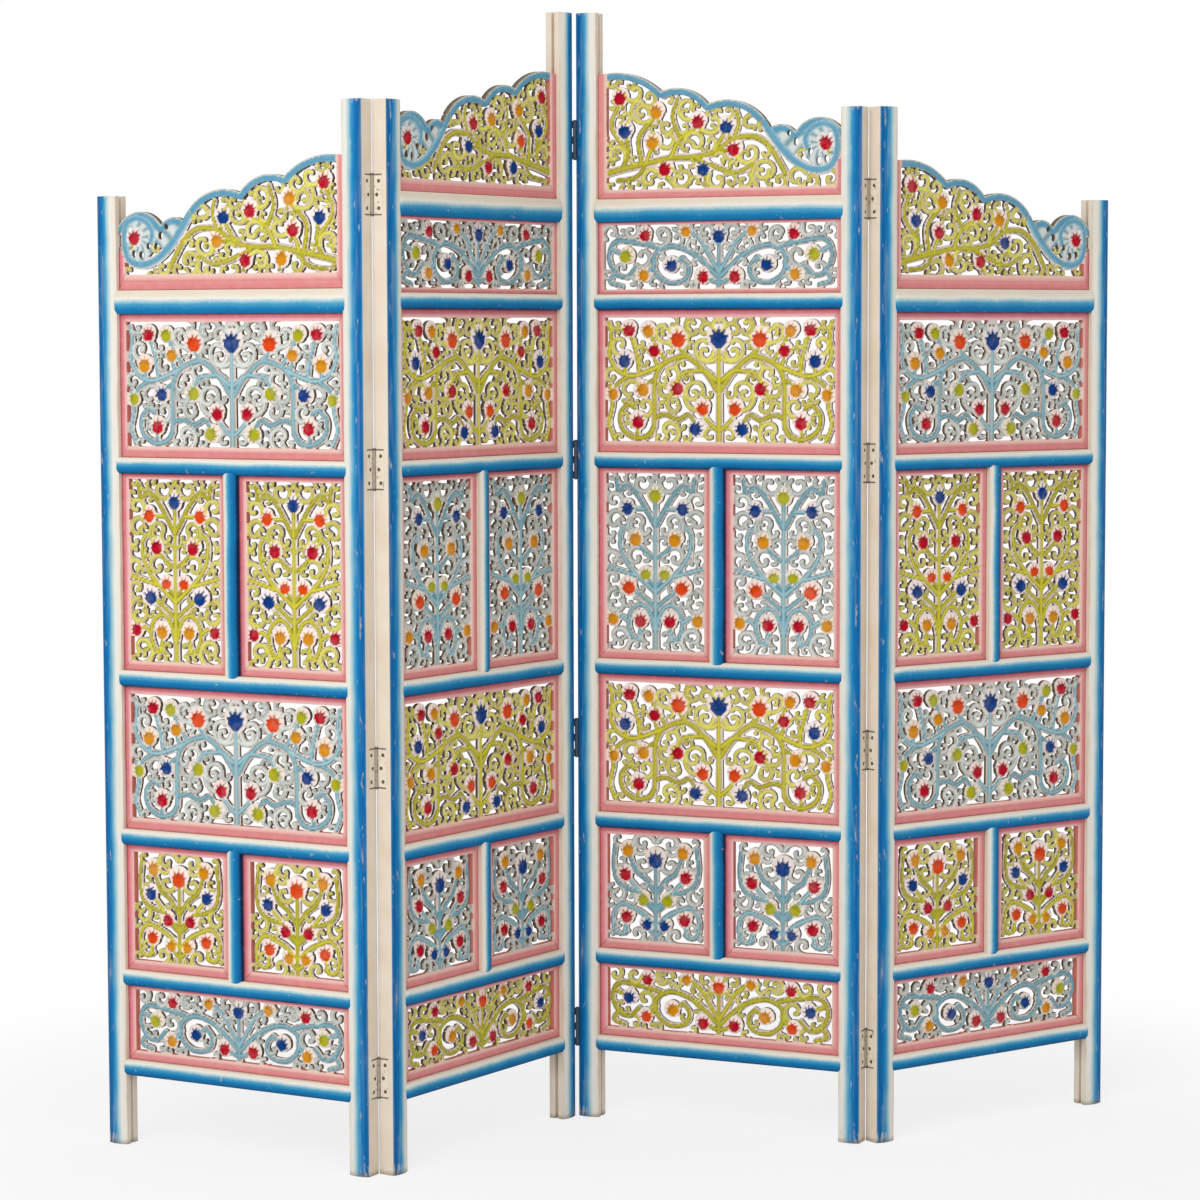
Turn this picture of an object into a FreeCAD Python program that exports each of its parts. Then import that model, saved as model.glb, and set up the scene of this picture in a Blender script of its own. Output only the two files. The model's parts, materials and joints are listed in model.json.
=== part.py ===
"""Four-leaf folding screen: painted wooden frames, pierced floral panels and butt hinges."""
import FreeCAD
import Part
import Sketcher

import math
import os

from FreeCAD import Placement, Rotation, Vector

# Driving dimensions, in millimetres and degrees
SIZES = {
    # Frame members
    "leaf_width": 500.0,
    "stile_width": 36.0,
    "frame_thickness": 31.0,
    "crown_rise": 4.0,
    "low_stile_height": 1527.0,
    "middle_stile_height": 1665.0,
    "tall_stile_height": 1830.0,
    "rail_height": 25.0,
    "crest_rail_height": 37.0,
    "mullion_width": 25.0,
    "cope_lap": 5.0,
    "cope_clearance": 0.1,
    # Rail centre lines above the floor
    "foot_rail_centre": 127.0,
    "base_rail_centre": 274.0,
    "lower_rail_centre": 503.0,
    "middle_rail_centre": 759.0,
    "upper_rail_centre": 1100.0,
    "shoulder_rail_centre": 1359.0,
    "head_rail_centre": 1508.0,
    # Grooves, tongues and stub tenons
    "groove_depth": 8.0,
    "groove_width": 6.0,
    "groove_setback": 14.0,
    "groove_end_gap": 0.5,
    "tongue_clearance": 0.2,
    # Pierced panels
    "panel_thickness": 12.0,
    "panel_setback": 11.0,
    "panel_edge_gap": 0.3,
    "border_width": 14.0,
    "crest_height": 205.0,
    "crest_rim_width": 9.0,
    "boss_radius": 8.0,
    "petal_length": 21.0,
    "petal_width": 9.5,
    "leaflet_length": 19.0,
    "leaflet_width": 7.0,
    "vine_width": 4.0,
    # Butt hinges, their pins and screws
    "hinge_height": 63.0,
    "plate_width": 18.0,
    "plate_thickness": 1.5,
    "mortise_clearance": 0.2,
    "joint_gap": 1.2,
    "knuckle_radius": 3.0,
    "knuckle_gap": 0.3,
    "pin_radius": 1.6,
    "pin_clearance": 0.05,
    "pin_head_radius": 2.6,
    "pin_head_height": 1.2,
    "back_pin_offset": 0.4,
    "front_pin_offset": 0.5,
    "screw_head_radius": 3.0,
    "screw_shank_radius": 1.5,
    "screw_length": 14.0,
    "screw_clearance": 0.1,
    "foot_hinge_centre": 152.0,
    "lower_hinge_centre": 638.0,
    "upper_hinge_centre": 1100.0,
    "side_top_hinge_centre": 1520.0,
    "middle_top_hinge_centre": 1624.0,
    # How each leaf stands, turned from the line of the flat screen
    "first_leaf_angle": -29.9,
    "second_leaf_angle": 54.9,
    "third_leaf_angle": -25.8,
    "fourth_leaf_angle": 35.0,
    # Reach of a cut beyond the face it starts from
    "overrun": 2.0,
}

doc = FreeCAD.newDocument("folding_screen")
sheet = doc.addObject("Spreadsheet::Sheet", "Sizes")
for row, (alias, number) in enumerate(SIZES.items(), start=1):
    sheet.set(f"A{row}", alias)
    sheet.set(f"B{row}", str(number))
    sheet.setAlias(f"B{row}", alias)
doc.recompute()


class Size:
    """A number together with the sheet formula that it follows."""

    def __init__(self, value, text):
        self.value = value
        self.text = text

    def __add__(self, other):
        return Size(self.value + other.value, f"({self.text} + {other.text})")

    def __sub__(self, other):
        return Size(self.value - other.value, f"({self.text} - {other.text})")

    def __mul__(self, factor):
        return Size(self.value * factor, f"({self.text} * {factor})")

    def __truediv__(self, factor):
        return Size(self.value / factor, f"({self.text} / {factor})")

    def __neg__(self):
        return self * -1

    def times(self, other):
        return Size(self.value * other.value, f"({self.text} * {other.text})")

    def over(self, other):
        return Size(self.value / other.value, f"({self.text} / {other.text})")


def size(alias):
    """Read one driving dimension from the sheet."""
    return Size(float(sheet.get(alias)), f"Sizes.{alias}")


NONE = Size(0.0, "0")
leaf_width = size("leaf_width")
stile_width = size("stile_width")
thickness = size("frame_thickness")
crown_rise = size("crown_rise")
overrun = size("overrun")

# Groove shared by stiles, rails and mullions, and the tongues and tenons that fill it
groove_front = size("groove_setback")
groove_back = groove_front + size("groove_width")
groove_depth = size("groove_depth")
tongue_front = groove_front + size("tongue_clearance")
tongue_back = groove_back - size("tongue_clearance")
tongue_length = groove_depth - size("groove_end_gap")


def crown_radius(width):
    """Radius of the shallow dome that spans a member of the given width."""
    half = width / 2
    return (half.times(half) + crown_rise.times(crown_rise)).over(crown_rise * 2)


def origin_plane(body, role):
    return next(plane for plane in body.Origin.OriginFeatures if plane.Role == role)


def nearest_end(edge, point):
    """1 for the start of a sketch edge and 2 for its end, whichever lies at the point."""
    start_gap = edge.StartPoint.distanceToPoint(point)
    return 1 if start_gap < edge.EndPoint.distanceToPoint(point) else 2


def bind(sketch, kind, where, target):
    """Add one dimension to a sketch and tie it to the sheet."""
    index = sketch.addConstraint(Sketcher.Constraint(kind, *where, target.value))
    sketch.setExpression(f"Constraints[{index}]", target.text)


def upright_arc(start, crown, end):
    """Arc through three points, always drawn anticlockwise as a sketch stores it."""
    if (crown - start).cross(end - crown).z < 0:
        start, end = end, start
    centre = Part.Circle(start, crown, end).Center
    sweep = [math.atan2(point.y - centre.y, point.x - centre.x) for point in (start, end)]
    circle = Part.Circle(centre, Vector(0, 0, 1), centre.distanceToPoint(start))
    return Part.ArcOfCircle(circle, *sweep)


def draw_outline(sketch, corners):
    """Closed outline of lines and arcs.

    A corner may carry the crown point and the radius of the arc that starts there.
    """
    points = [Vector(corner[0].value, corner[1].value, 0) for corner in corners]
    first = sketch.GeometryCount
    count = len(corners)
    edges = []
    for index, corner in enumerate(corners):
        start = points[index]
        end = points[(index + 1) % count]
        if len(corner) > 2:
            edges.append(upright_arc(start, Vector(corner[2].value, corner[3].value, 0), end))
        else:
            edges.append(Part.LineSegment(start, end))
    sketch.addGeometry(edges, False)
    drawn = [sketch.Geometry[first + index] for index in range(count)]
    starts = [nearest_end(drawn[index], points[index]) for index in range(count)]
    ends = [3 - start for start in starts]
    for index in range(count):
        following = (index + 1) % count
        joint = (first + index, ends[index], first + following, starts[following])
        sketch.addConstraint(Sketcher.Constraint("Coincident", *joint))
    for index, corner in enumerate(corners):
        place = (-1, 1, first + index, starts[index])
        bind(sketch, "DistanceX", place, corner[0])
        bind(sketch, "DistanceY", place, corner[1])
        if len(corner) > 2:
            bind(sketch, "Radius", (first + index,), corner[4])


def draw_circle(sketch, across, up, radius):
    centre = Vector(across.value, up.value, 0)
    index = sketch.addGeometry(Part.Circle(centre, Vector(0, 0, 1), radius.value), False)
    bind(sketch, "DistanceX", (-1, 1, index, 3), across)
    bind(sketch, "DistanceY", (-1, 1, index, 3), up)
    bind(sketch, "Radius", (index,), radius)


def add_sketch(body, name, role):
    sketch = body.newObject("Sketcher::SketchObject", name)
    sketch.AttachmentSupport = [(origin_plane(body, role), "")]
    sketch.MapMode = "FlatFace"
    return sketch


def add_feature(body, kind, name, sketch, length, both_ways=False):
    """Pad or pocket of a sketch over a length, to one side of its plane or half to each."""
    feature = body.newObject(f"PartDesign::{kind}", name)
    feature.Profile = sketch
    feature.setExpression("Length", length.text)
    if both_ways:
        feature.SideType = "Symmetric"
    return feature


# Stiles: domed front, flat back, groove along the inner edge, hinge mortises in the outer edge.
# Where the pin stands at the back, the corner is let in for the knuckles as well.
hinge_height = size("hinge_height")
plate_width = size("plate_width")
plate_thickness = size("plate_thickness")
joint_gap = size("joint_gap")
mortise_clearance = size("mortise_clearance")
screw_radius = size("screw_shank_radius")
screw_clearance = size("screw_clearance")
low_hinges = [size("foot_hinge_centre"), size("lower_hinge_centre"), size("upper_hinge_centre")]
side_hinges = low_hinges + [size("side_top_hinge_centre")]
middle_hinges = low_hinges + [size("middle_top_hinge_centre")]
screw_height_shares = (-0.33, 0.0, 0.33)
screw_depth_shares = (0.62, 0.38, 0.62)


def plate_depths(at_back):
    """Edge of a hinge plate next to the knuckles and its far edge, as depths behind the crown."""
    if at_back:
        return pin_offset(at_back) - knuckle_radius - size("knuckle_gap"), thickness - plate_width
    return crown_rise, crown_rise + plate_width


def screw_places(at_back):
    """Depth behind the crown and height from the hinge centre of each screw of a plate."""
    near, far = plate_depths(at_back)
    for depth_share, height_share in zip(screw_depth_shares, screw_height_shares):
        yield near + (far - near) * depth_share, hinge_height * height_share


def make_stile(name, hand, height, hinges, at_back):
    """One stile; hand is 1 for a left stile and -1 for a right one, measured from the outer edge."""
    body = doc.addObject("PartDesign::Body", name)
    inner = stile_width * hand
    groove_floor = (stile_width - groove_depth) * hand
    section = add_sketch(body, f"{name}_section", "XY_Plane")
    draw_outline(section, [
        (NONE, crown_rise, inner / 2, NONE, crown_radius(stile_width)),
        (inner, crown_rise),
        (inner, groove_front),
        (groove_floor, groove_front),
        (groove_floor, groove_back),
        (inner, groove_back),
        (inner, thickness),
        (NONE, thickness),
    ])
    add_feature(body, "Pad", f"{name}_length", section, height)
    if hinges:
        near, far = plate_depths(at_back)
        step = mortise_clearance if at_back else -mortise_clearance
        mouth = thickness + overrun if at_back else NONE
        mortises = add_sketch(body, f"{name}_mortises", "YZ_Plane")
        holes = add_sketch(body, f"{name}_screw_holes", "YZ_Plane")
        for centre in hinges:
            bottom = centre - hinge_height / 2 - mortise_clearance
            top = centre + hinge_height / 2 + mortise_clearance
            draw_outline(mortises, [(mouth, bottom), (far - step, bottom), (far - step, top), (mouth, top)])
            for depth, rise in screw_places(at_back):
                draw_circle(holes, depth, centre + rise, screw_radius + screw_clearance)
        mortise_depth = plate_thickness + mortise_clearance
        hole_depth = size("screw_length") + mortise_clearance
        add_feature(body, "Pocket", f"{name}_mortise_cut", mortises, mortise_depth * 2, True)
        add_feature(body, "Pocket", f"{name}_hole_cut", holes, hole_depth * 2, True)
        if at_back:
            recesses = add_sketch(body, f"{name}_recesses", "YZ_Plane")
            front = pin_offset(at_back) - knuckle_radius - mortise_clearance
            half = hinge_height / 2 + pin_head_height + mortise_clearance
            for centre in hinges:
                bottom = centre - half
                top = centre + half
                draw_outline(recesses, [(mouth, bottom), (front, bottom), (front, top), (mouth, top)])
            recess_depth = knuckle_radius - joint_gap / 2 + mortise_clearance
            add_feature(body, "Pocket", f"{name}_recess_cut", recesses, recess_depth * 2, True)
    return body


# Rails and mullions: the same dome, grooved edges, coped ends and stub tenons
def make_bar(name, span, width, neighbour_width, grooves=(1, -1)):
    """A bar along X between two neighbours, centred at the origin; grooves name the grooved edges."""
    body = doc.addObject("PartDesign::Body", name)
    edge = width / 2
    outline = [(crown_rise, -edge, NONE, NONE, crown_radius(width)), (crown_rise, edge)]
    if 1 in grooves:
        floor = edge - groove_depth
        outline += [
            (groove_front, edge), (groove_front, floor), (groove_back, floor), (groove_back, edge),
        ]
    outline += [(thickness, edge), (thickness, -edge)]
    if -1 in grooves:
        floor = groove_depth - edge
        outline += [
            (groove_back, -edge), (groove_back, floor), (groove_front, floor), (groove_front, -edge),
        ]
    section = add_sketch(body, f"{name}_section", "YZ_Plane")
    draw_outline(section, outline)
    add_feature(body, "Pad", f"{name}_length", section, span + size("cope_lap") * 2, True)
    cope = add_sketch(body, f"{name}_cope", "XY_Plane")
    radius = crown_radius(neighbour_width)
    shoulder = crown_rise - size("cope_clearance")
    crown = -size("cope_clearance")
    behind = thickness + overrun
    half_rise = radius.value - math.sqrt(radius.value ** 2 - (neighbour_width.value / 4) ** 2)
    on_dome = Size(half_rise + crown.value, crown.text)
    for hand in (1, -1):
        seat = span / 2 * hand
        far = (span + neighbour_width) / 2 * hand
        middle = (span + neighbour_width / 2) / 2 * hand
        draw_outline(cope, [
            (seat, shoulder, middle, on_dome, radius),
            (far, crown),
            (far, behind),
            (seat, behind),
        ])
    add_feature(body, "Pocket", f"{name}_cope_cut", cope, (width + overrun) * 2, True)
    tenon = add_sketch(body, f"{name}_tenon", "YZ_Plane")
    tenon_edge = edge - groove_depth
    draw_outline(tenon, [
        (tongue_front, -tenon_edge),
        (tongue_back, -tenon_edge),
        (tongue_back, tenon_edge),
        (tongue_front, tenon_edge),
    ])
    add_feature(body, "Pad", f"{name}_tenons", tenon, span + tongue_length * 2, True)
    return body


rail_height = size("rail_height")
crest_rail_height = size("crest_rail_height")
mullion_width = size("mullion_width")
field_width = leaf_width - stile_width * 2
half_field_width = (field_width - mullion_width) / 2
centres = {
    "foot": size("foot_rail_centre"),
    "base": size("base_rail_centre"),
    "lower": size("lower_rail_centre"),
    "middle": size("middle_rail_centre"),
    "upper": size("upper_rail_centre"),
    "shoulder": size("shoulder_rail_centre"),
    "head": size("head_rail_centre"),
}
foot_rail = make_bar("foot_rail", field_width, rail_height, stile_width, grooves=(1,))
cross_rail = make_bar("cross_rail", field_width, rail_height, stile_width)
crest_rail = make_bar("crest_rail", field_width, crest_rail_height, stile_width)


def row_height(low, high, high_rail_height):
    """Clear height between two rails."""
    return centres[high] - centres[low] - (rail_height + high_rail_height) / 2


strip_height = row_height("foot", "base", rail_height)
top_strip_height = row_height("shoulder", "head", crest_rail_height)
small_height = row_height("base", "lower", rail_height)
wide_height = row_height("lower", "middle", rail_height)
tall_height = row_height("middle", "upper", rail_height)
outer_wide_height = row_height("upper", "shoulder", crest_rail_height)
inner_wide_height = row_height("upper", "shoulder", rail_height)
tall_mullion = make_bar("tall_mullion", tall_height, mullion_width, rail_height)
small_mullion = make_bar("small_mullion", small_height, mullion_width, rail_height)

# Pierced panels: flowers stand as bosses inside fans of petal openings, with leaflets cut between.
# Flower places are shares of half the panel width from its centre line and of its height.
wide_flower_shares = (
    (0.0, 0.82), (0.36, 0.82), (0.62, 0.87), (0.83, 0.66), (0.565, 0.66), (0.36, 0.44),
    (0.67, 0.42), (0.90, 0.38), (0.14, 0.28), (0.23, 0.14), (0.72, 0.16),
)
tall_flower_shares = (
    (0.0, 0.88), (0.56, 0.80), (0.38, 0.63), (0.0, 0.50), (0.56, 0.36), (0.70, 0.17), (0.22, 0.17),
)
small_flower_shares = ((0.0, 0.76), (0.60, 0.84), (0.62, 0.55), (0.24, 0.42), (0.60, 0.20), (0.17, 0.16))
strip_flower_shares = (
    (0.0, 0.76), (0.64, 0.78), (0.30, 0.78), (0.84, 0.50), (0.43, 0.36), (0.65, 0.22), (0.15, 0.24),
)
# Crest flowers are shares of the whole width from the low side and of the crest height.
crest_flower_shares = (
    (0.065, 0.40), (0.25, 0.22), (0.36, 0.42), (0.47, 0.55), (0.44, 0.20), (0.586, 0.60), (0.565, 0.25),
    (0.76, 0.69), (0.912, 0.80), (0.89, 0.53), (0.77, 0.43), (0.72, 0.20), (0.88, 0.24),
)
# Scalloped top of the crest from the low side to the tall one: arc ends with the crown between them.
crest_outline_shares = (
    (0.0, 0.50), (0.08, 0.605), (0.19, 0.50),
    (0.245, 0.56), (0.29, 0.535),
    (0.41, 0.745), (0.544, 0.735),
    (0.645, 0.862), (0.736, 0.845),
    (0.86, 0.985), (1.0, 0.985),
)
stem_root_share = -0.35
fan_angle_shares = (0.0, -0.17, 0.17, -0.34, 0.34)
leaflet_spacing_share = 0.62
leaflet_bend_share = 0.16
opening_check_shares = (0.0, 0.25, 0.5, 0.75, 1.0)


class Opening:
    """A two-arc opening from root to tip, bellied by its width and bent to one side."""

    def __init__(self, root, tip, width, bend):
        along = (tip - root).normalize()
        self.side = Vector(-along.z, 0, along.x)
        self.root = root
        self.tip = tip
        self.width = width
        self.bend = bend
        self.spots = []
        for share in opening_check_shares:
            belly = 4 * share * (1 - share)
            centre = root + (tip - root) * share + self.side * (bend * belly)
            self.spots.append((centre, width / 2 * belly))

    def wire(self):
        middle = (self.root + self.tip) / 2
        left = middle + self.side * (self.bend + self.width / 2)
        right = middle + self.side * (self.bend - self.width / 2)
        there = Part.Arc(self.root, left, self.tip).toShape()
        back = Part.Arc(self.tip, right, self.root).toShape()
        return Part.Wire([there, back])

    def clears(self, other, wall):
        """True where a wall of wood is left between two openings."""
        for here, reach in self.spots:
            for there, other_reach in other.spots:
                if here.distanceToPoint(there) < reach + other_reach + wall:
                    return False
        return True

    def inside(self, face, rim, wall):
        """True where the opening keeps a wall off the field's edge."""
        for centre, reach in self.spots:
            if not face.isInside(centre, wall / 2, True):
                return False
            if Part.Vertex(centre).distToShape(rim)[0] < reach + wall / 2:
                return False
        return True


def cut_openings(field, width, height, flowers):
    """Petal fans round the flowers, then leaflets wherever the vine leaves room."""
    boss = size("boss_radius").value
    petal_length = size("petal_length").value
    petal_width = size("petal_width").value
    leaflet_length = size("leaflet_length").value
    leaflet_width = size("leaflet_width").value
    wall = size("vine_width").value
    rim = field.OuterWire
    stem_root = Vector(width / 2, 0, height * stem_root_share)
    kept = []

    def keep(opening):
        if opening.inside(field, rim, wall) and all(opening.clears(other, wall) for other in kept):
            kept.append(opening)

    for fan_share in fan_angle_shares:
        for flower in flowers:
            aim = flower - stem_root
            turn = math.atan2(aim.z, aim.x) + fan_share * 2 * math.pi
            ray = Vector(math.cos(turn), 0, math.sin(turn))
            keep(Opening(flower + ray * boss, flower + ray * (boss + petal_length), petal_width, 0))
    pitch = leaflet_length * leaflet_spacing_share
    for row in range(int(height / pitch) + 1):
        for column in range(int(width / pitch / 2) + 1):
            for hand in (1, -1):
                spot = Vector(width / 2 + hand * column * pitch, 0, row * pitch)
                aim = spot - stem_root
                lean = 1 if (row + column) % 2 else -1
                turn = math.atan2(aim.z, aim.x) + lean * hand * math.pi / 4
                ray = Vector(math.cos(turn), 0, math.sin(turn)) * (leaflet_length / 2)
                bend = leaflet_length * leaflet_bend_share * lean * hand
                keep(Opening(spot - ray, spot + ray, leaflet_width, bend))
    return [opening.wire() for opening in kept]


def polygon(corners):
    points = [Vector(across, 0, up) for across, up in corners]
    return Part.makePolygon(points + points[:1])


def rectangle(width, height, grow):
    right = width + grow
    top = height + grow
    return polygon([(-grow, -grow), (right, -grow), (right, top), (-grow, top)])


def board(slab_wire, opening_wires, tongue_wires):
    """Pierced slab with a thinner tongue standing out round its edge."""
    slab = Part.makeFace([slab_wire] + opening_wires, "Part::FaceMakerBullseye")
    slab = slab.extrude(Vector(0, size("panel_thickness").value, 0))
    slab.translate(Vector(0, size("panel_setback").value, 0))
    tongue = Part.makeFace(tongue_wires, "Part::FaceMakerBullseye")
    tongue = tongue.extrude(Vector(0, (tongue_back - tongue_front).value, 0))
    tongue.translate(Vector(0, tongue_front.value, 0))
    return slab.fuse(tongue).removeSplitter().Solids[0]


def add_board(name, shape):
    feature = doc.addObject("Part::Feature", name)
    feature.Shape = shape
    return feature


def make_panel(name, across, up, flower_shares):
    """Rectangular panel whose lower left corner of sight is at the origin."""
    width = across.value
    height = up.value
    gap = size("panel_edge_gap").value
    border = size("border_width").value
    flowers = []
    for aside_share, up_share in flower_shares:
        for hand in ((1, -1) if aside_share else (1,)):
            flowers.append(Vector(width / 2 * (1 + hand * aside_share), 0, height * up_share))
    field = Part.Face(rectangle(width, height, -border))
    openings = cut_openings(field, width, height, flowers)
    slab = rectangle(width, height, -gap)
    tongue = [rectangle(width, height, tongue_length.value), rectangle(width, height, -border / 2)]
    return add_board(name, board(slab, openings, tongue))


def crest_top(width, height, gap):
    """Edges of the scalloped top, from the tall side back to the low one."""
    points = [Vector(width * across, 0, height * up) for across, up in crest_outline_shares]
    points[0].x = gap
    points[-1].x = width - gap
    arcs = []
    for start in range(len(points) - 3, -1, -2):
        arcs.append(Part.Arc(points[start + 2], points[start + 1], points[start]).toShape())
    return arcs, points[0], points[-1]


def crest_wire(width, height, inset):
    """Outline of the crest, drawn in from the stiles, the rail and the scallops."""
    arcs, low, tall = crest_top(width, height, inset)
    low_foot = Vector(inset, 0, inset)
    tall_foot = Vector(width - inset, 0, inset)
    corners = [low, low_foot, tall_foot, tall]
    sides = [Part.makeLine(start, end) for start, end in zip(corners, corners[1:])]
    return Part.Wire(sides + arcs)


def make_crest(name, hand):
    """Crest panel with its tall side at the right for hand 1 and at the left for hand -1."""
    width = field_width.value
    height = size("crest_height").value
    gap = size("panel_edge_gap").value
    border = size("border_width").value
    rim = size("crest_rim_width").value
    flowers = [Vector(width * across, 0, height * up) for across, up in crest_flower_shares]
    outline = crest_wire(width, height, gap)
    field = Part.Face(outline.makeOffset2D(-rim))
    openings = cut_openings(field, width, height, flowers)
    reach = tongue_length.value
    low = height * crest_outline_shares[0][1] - rim
    tall = height * crest_outline_shares[-1][1] - rim
    inner = border / 2
    tongue = polygon([
        (-reach, -reach), (width + reach, -reach), (width + reach, tall), (width - inner, tall),
        (width - inner, inner), (inner, inner), (inner, low), (-reach, low),
    ])
    shape = board(outline, openings, [tongue])
    if hand < 0:
        shape = shape.mirror(Vector(width / 2, 0, 0), Vector(1, 0, 0))
    return add_board(name, shape)


panels = {
    "strip": make_panel("strip_panel", field_width, strip_height, strip_flower_shares),
    "top_strip": make_panel("top_strip_panel", field_width, top_strip_height, strip_flower_shares),
    "small": make_panel("small_panel", half_field_width, small_height, small_flower_shares),
    "wide": make_panel("wide_panel", field_width, wide_height, wide_flower_shares),
    "tall": make_panel("tall_panel", half_field_width, tall_height, tall_flower_shares),
    "outer_wide": make_panel("outer_panel", field_width, outer_wide_height, wide_flower_shares),
    "inner_wide": make_panel("inner_panel", field_width, inner_wide_height, wide_flower_shares),
}
crests = {1: make_crest("right_rising_crest", 1), -1: make_crest("left_rising_crest", -1)}

# Butt hinges, drawn about the pin with the plate edge of the right-hand leaf at positive X
knuckle_count = 5
knuckle_radius = size("knuckle_radius")
pin_radius = size("pin_radius")
pin_head_height = size("pin_head_height")
knuckle_pitch = hinge_height / knuckle_count


def place(solid, across, depth, up):
    for axis, target in zip("xyz", (across, depth, up)):
        solid.setExpression(f".Placement.Base.{axis}", target.text)
    return solid


def make_box(name, low, high):
    box = doc.addObject("Part::Box", name)
    for side, start, end in zip(("Length", "Width", "Height"), low, high):
        box.setExpression(side, (end - start).text)
    return place(box, *low)


def make_cylinder(name, radius, bottom, top):
    cylinder = doc.addObject("Part::Cylinder", name)
    cylinder.setExpression("Radius", radius.text)
    cylinder.setExpression("Height", (top - bottom).text)
    return place(cylinder, NONE, NONE, bottom)


def make_screw(name, hand, head_radius, shank_radius, length):
    """Countersunk screw lying along X from the joint face into the stile, head at the origin."""
    head = doc.addObject("Part::Cone", f"{name}_head")
    head.setExpression("Radius1", head_radius.text)
    head.setExpression("Radius2", shank_radius.text)
    head.setExpression("Height", plate_thickness.text)
    shank = doc.addObject("Part::Cylinder", f"{name}_shank")
    shank.setExpression("Radius", shank_radius.text)
    shank.setExpression("Height", length.text)
    screw = doc.addObject("Part::Fuse", name)
    screw.Base = head
    screw.Tool = shank
    screw.Placement = Placement(Vector(), Rotation(Vector(0, 1, 0), 90 * hand))
    return screw


def add_link(name, source, placement):
    link = doc.addObject("App::Link", name)
    link.LinkedObject = source
    link.Placement = placement
    return link


def add_compound(name, links):
    compound = doc.addObject("Part::Compound", name)
    compound.Links = links
    return compound


screws = {}
for hand, side in ((1, "right"), (-1, "left")):
    screws[hand] = make_screw(
        f"{side}_screw", hand, size("screw_head_radius"), screw_radius, size("screw_length"))


def pin_offset(at_back):
    """Depth of the pin axis behind the crown plane of the leaves."""
    return thickness + size("back_pin_offset") if at_back else -size("front_pin_offset")


def hinge_screw_places(hand, at_back):
    """Where the three screws of one plate sit, measured from the pin and the hinge centre."""
    across = joint_gap / 2 * hand
    for depth, rise in screw_places(at_back):
        yield across.value, (depth - pin_offset(at_back)).value, rise.value


def make_plate(name, hand, at_back):
    """Hinge plate with its knuckles; left plates carry the odd knuckles and right ones the even."""
    near, far = (depth - pin_offset(at_back) for depth in plate_depths(at_back))
    first, last = (far, near) if at_back else (near, far)
    neck_first, neck_last = (near, NONE) if at_back else (NONE, near)
    inner = joint_gap / 2
    outer = inner + plate_thickness
    left, right = (inner, outer) if hand > 0 else (-outer, -inner)
    foot = -(hinge_height / 2)
    solids = [make_box(f"{name}_leaf", (left, first, foot), (right, last, -foot))]
    for index in range(1 if hand > 0 else 0, knuckle_count, 2):
        bottom = foot + knuckle_pitch * index + size("knuckle_gap") / 2
        top = foot + knuckle_pitch * (index + 1) - size("knuckle_gap") / 2
        solids.append(make_box(f"{name}_neck_{index}", (left, neck_first, bottom), (right, neck_last, top)))
        solids.append(make_cylinder(f"{name}_knuckle_{index}", knuckle_radius, bottom, top))
    blank = doc.addObject("Part::MultiFuse", f"{name}_blank")
    blank.Shapes = solids
    bore = make_cylinder(f"{name}_bore", pin_radius + size("pin_clearance"), foot - overrun, overrun - foot)
    clearance = size("screw_clearance")
    cutter = make_screw(
        f"{name}_countersink", hand, size("screw_head_radius") + clearance, screw_radius + clearance,
        size("screw_length"))
    cuts = [bore]
    for index, spot in enumerate(hinge_screw_places(hand, at_back)):
        turned = Placement(Vector(*spot), cutter.Placement.Rotation)
        cuts.append(add_link(f"{name}_screw_hole_{index}", cutter, turned))
    plate = doc.addObject("Part::Cut", name)
    plate.Base = blank
    plate.Tool = add_compound(f"{name}_cuts", cuts)
    return plate


def make_pin(name):
    """Pin with a flat head at each end of the knuckles."""
    end = hinge_height / 2
    pin = doc.addObject("Part::MultiFuse", name)
    pin.Shapes = [
        make_cylinder(f"{name}_shaft", pin_radius, -end, end),
        make_cylinder(f"{name}_foot", size("pin_head_radius"), -end - pin_head_height, -end),
        make_cylinder(f"{name}_head", size("pin_head_radius"), end, end + pin_head_height),
    ]
    return pin


hinge_pin = make_pin("hinge_pin")
plates = {}
for at_back, kind in ((True, "back"), (False, "front")):
    for hand, side in ((1, "right"), (-1, "left")):
        plates[hand, at_back] = make_plate(f"{kind}_{side}_plate", hand, at_back)

# Where the leaves stand: each turns about the vertical, and neighbours share a pin axis
angles = [size(f"{word}_leaf_angle").value for word in ("first", "second", "third", "fourth")]
pins_at_back = (True, False, True)


def leaf_rotation(index):
    return Rotation(Vector(0, 0, 1), angles[index])


def pin_in_leaf(hand, at_back):
    """Pin axis in a leaf's own frame, at its left edge for hand 1 and its right edge for hand -1."""
    edge = -joint_gap / 2 if hand > 0 else leaf_width + joint_gap / 2
    return Vector(edge.value, pin_offset(at_back).value, 0)


corners = [Vector()]
pin_axes = []
for joint, at_back in enumerate(pins_at_back):
    axis = corners[joint] + leaf_rotation(joint).multVec(pin_in_leaf(-1, at_back))
    pin_axes.append(axis)
    corners.append(axis - leaf_rotation(joint + 1).multVec(pin_in_leaf(1, at_back)))

# Nodes: every named piece or group of like pieces, built in its leaf's own frame
nodes = []


def add_node(name, leaf, pieces):
    """Group of placed pieces that moves with one leaf."""
    links = [add_link(f"{name}_{index}", source, spot) for index, (source, spot) in enumerate(pieces)]
    node = add_compound(name, links)
    nodes.append((node, leaf))


def at(across, up, rotation=Rotation()):
    return Placement(Vector(across.value, 0, up.value), rotation)


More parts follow.
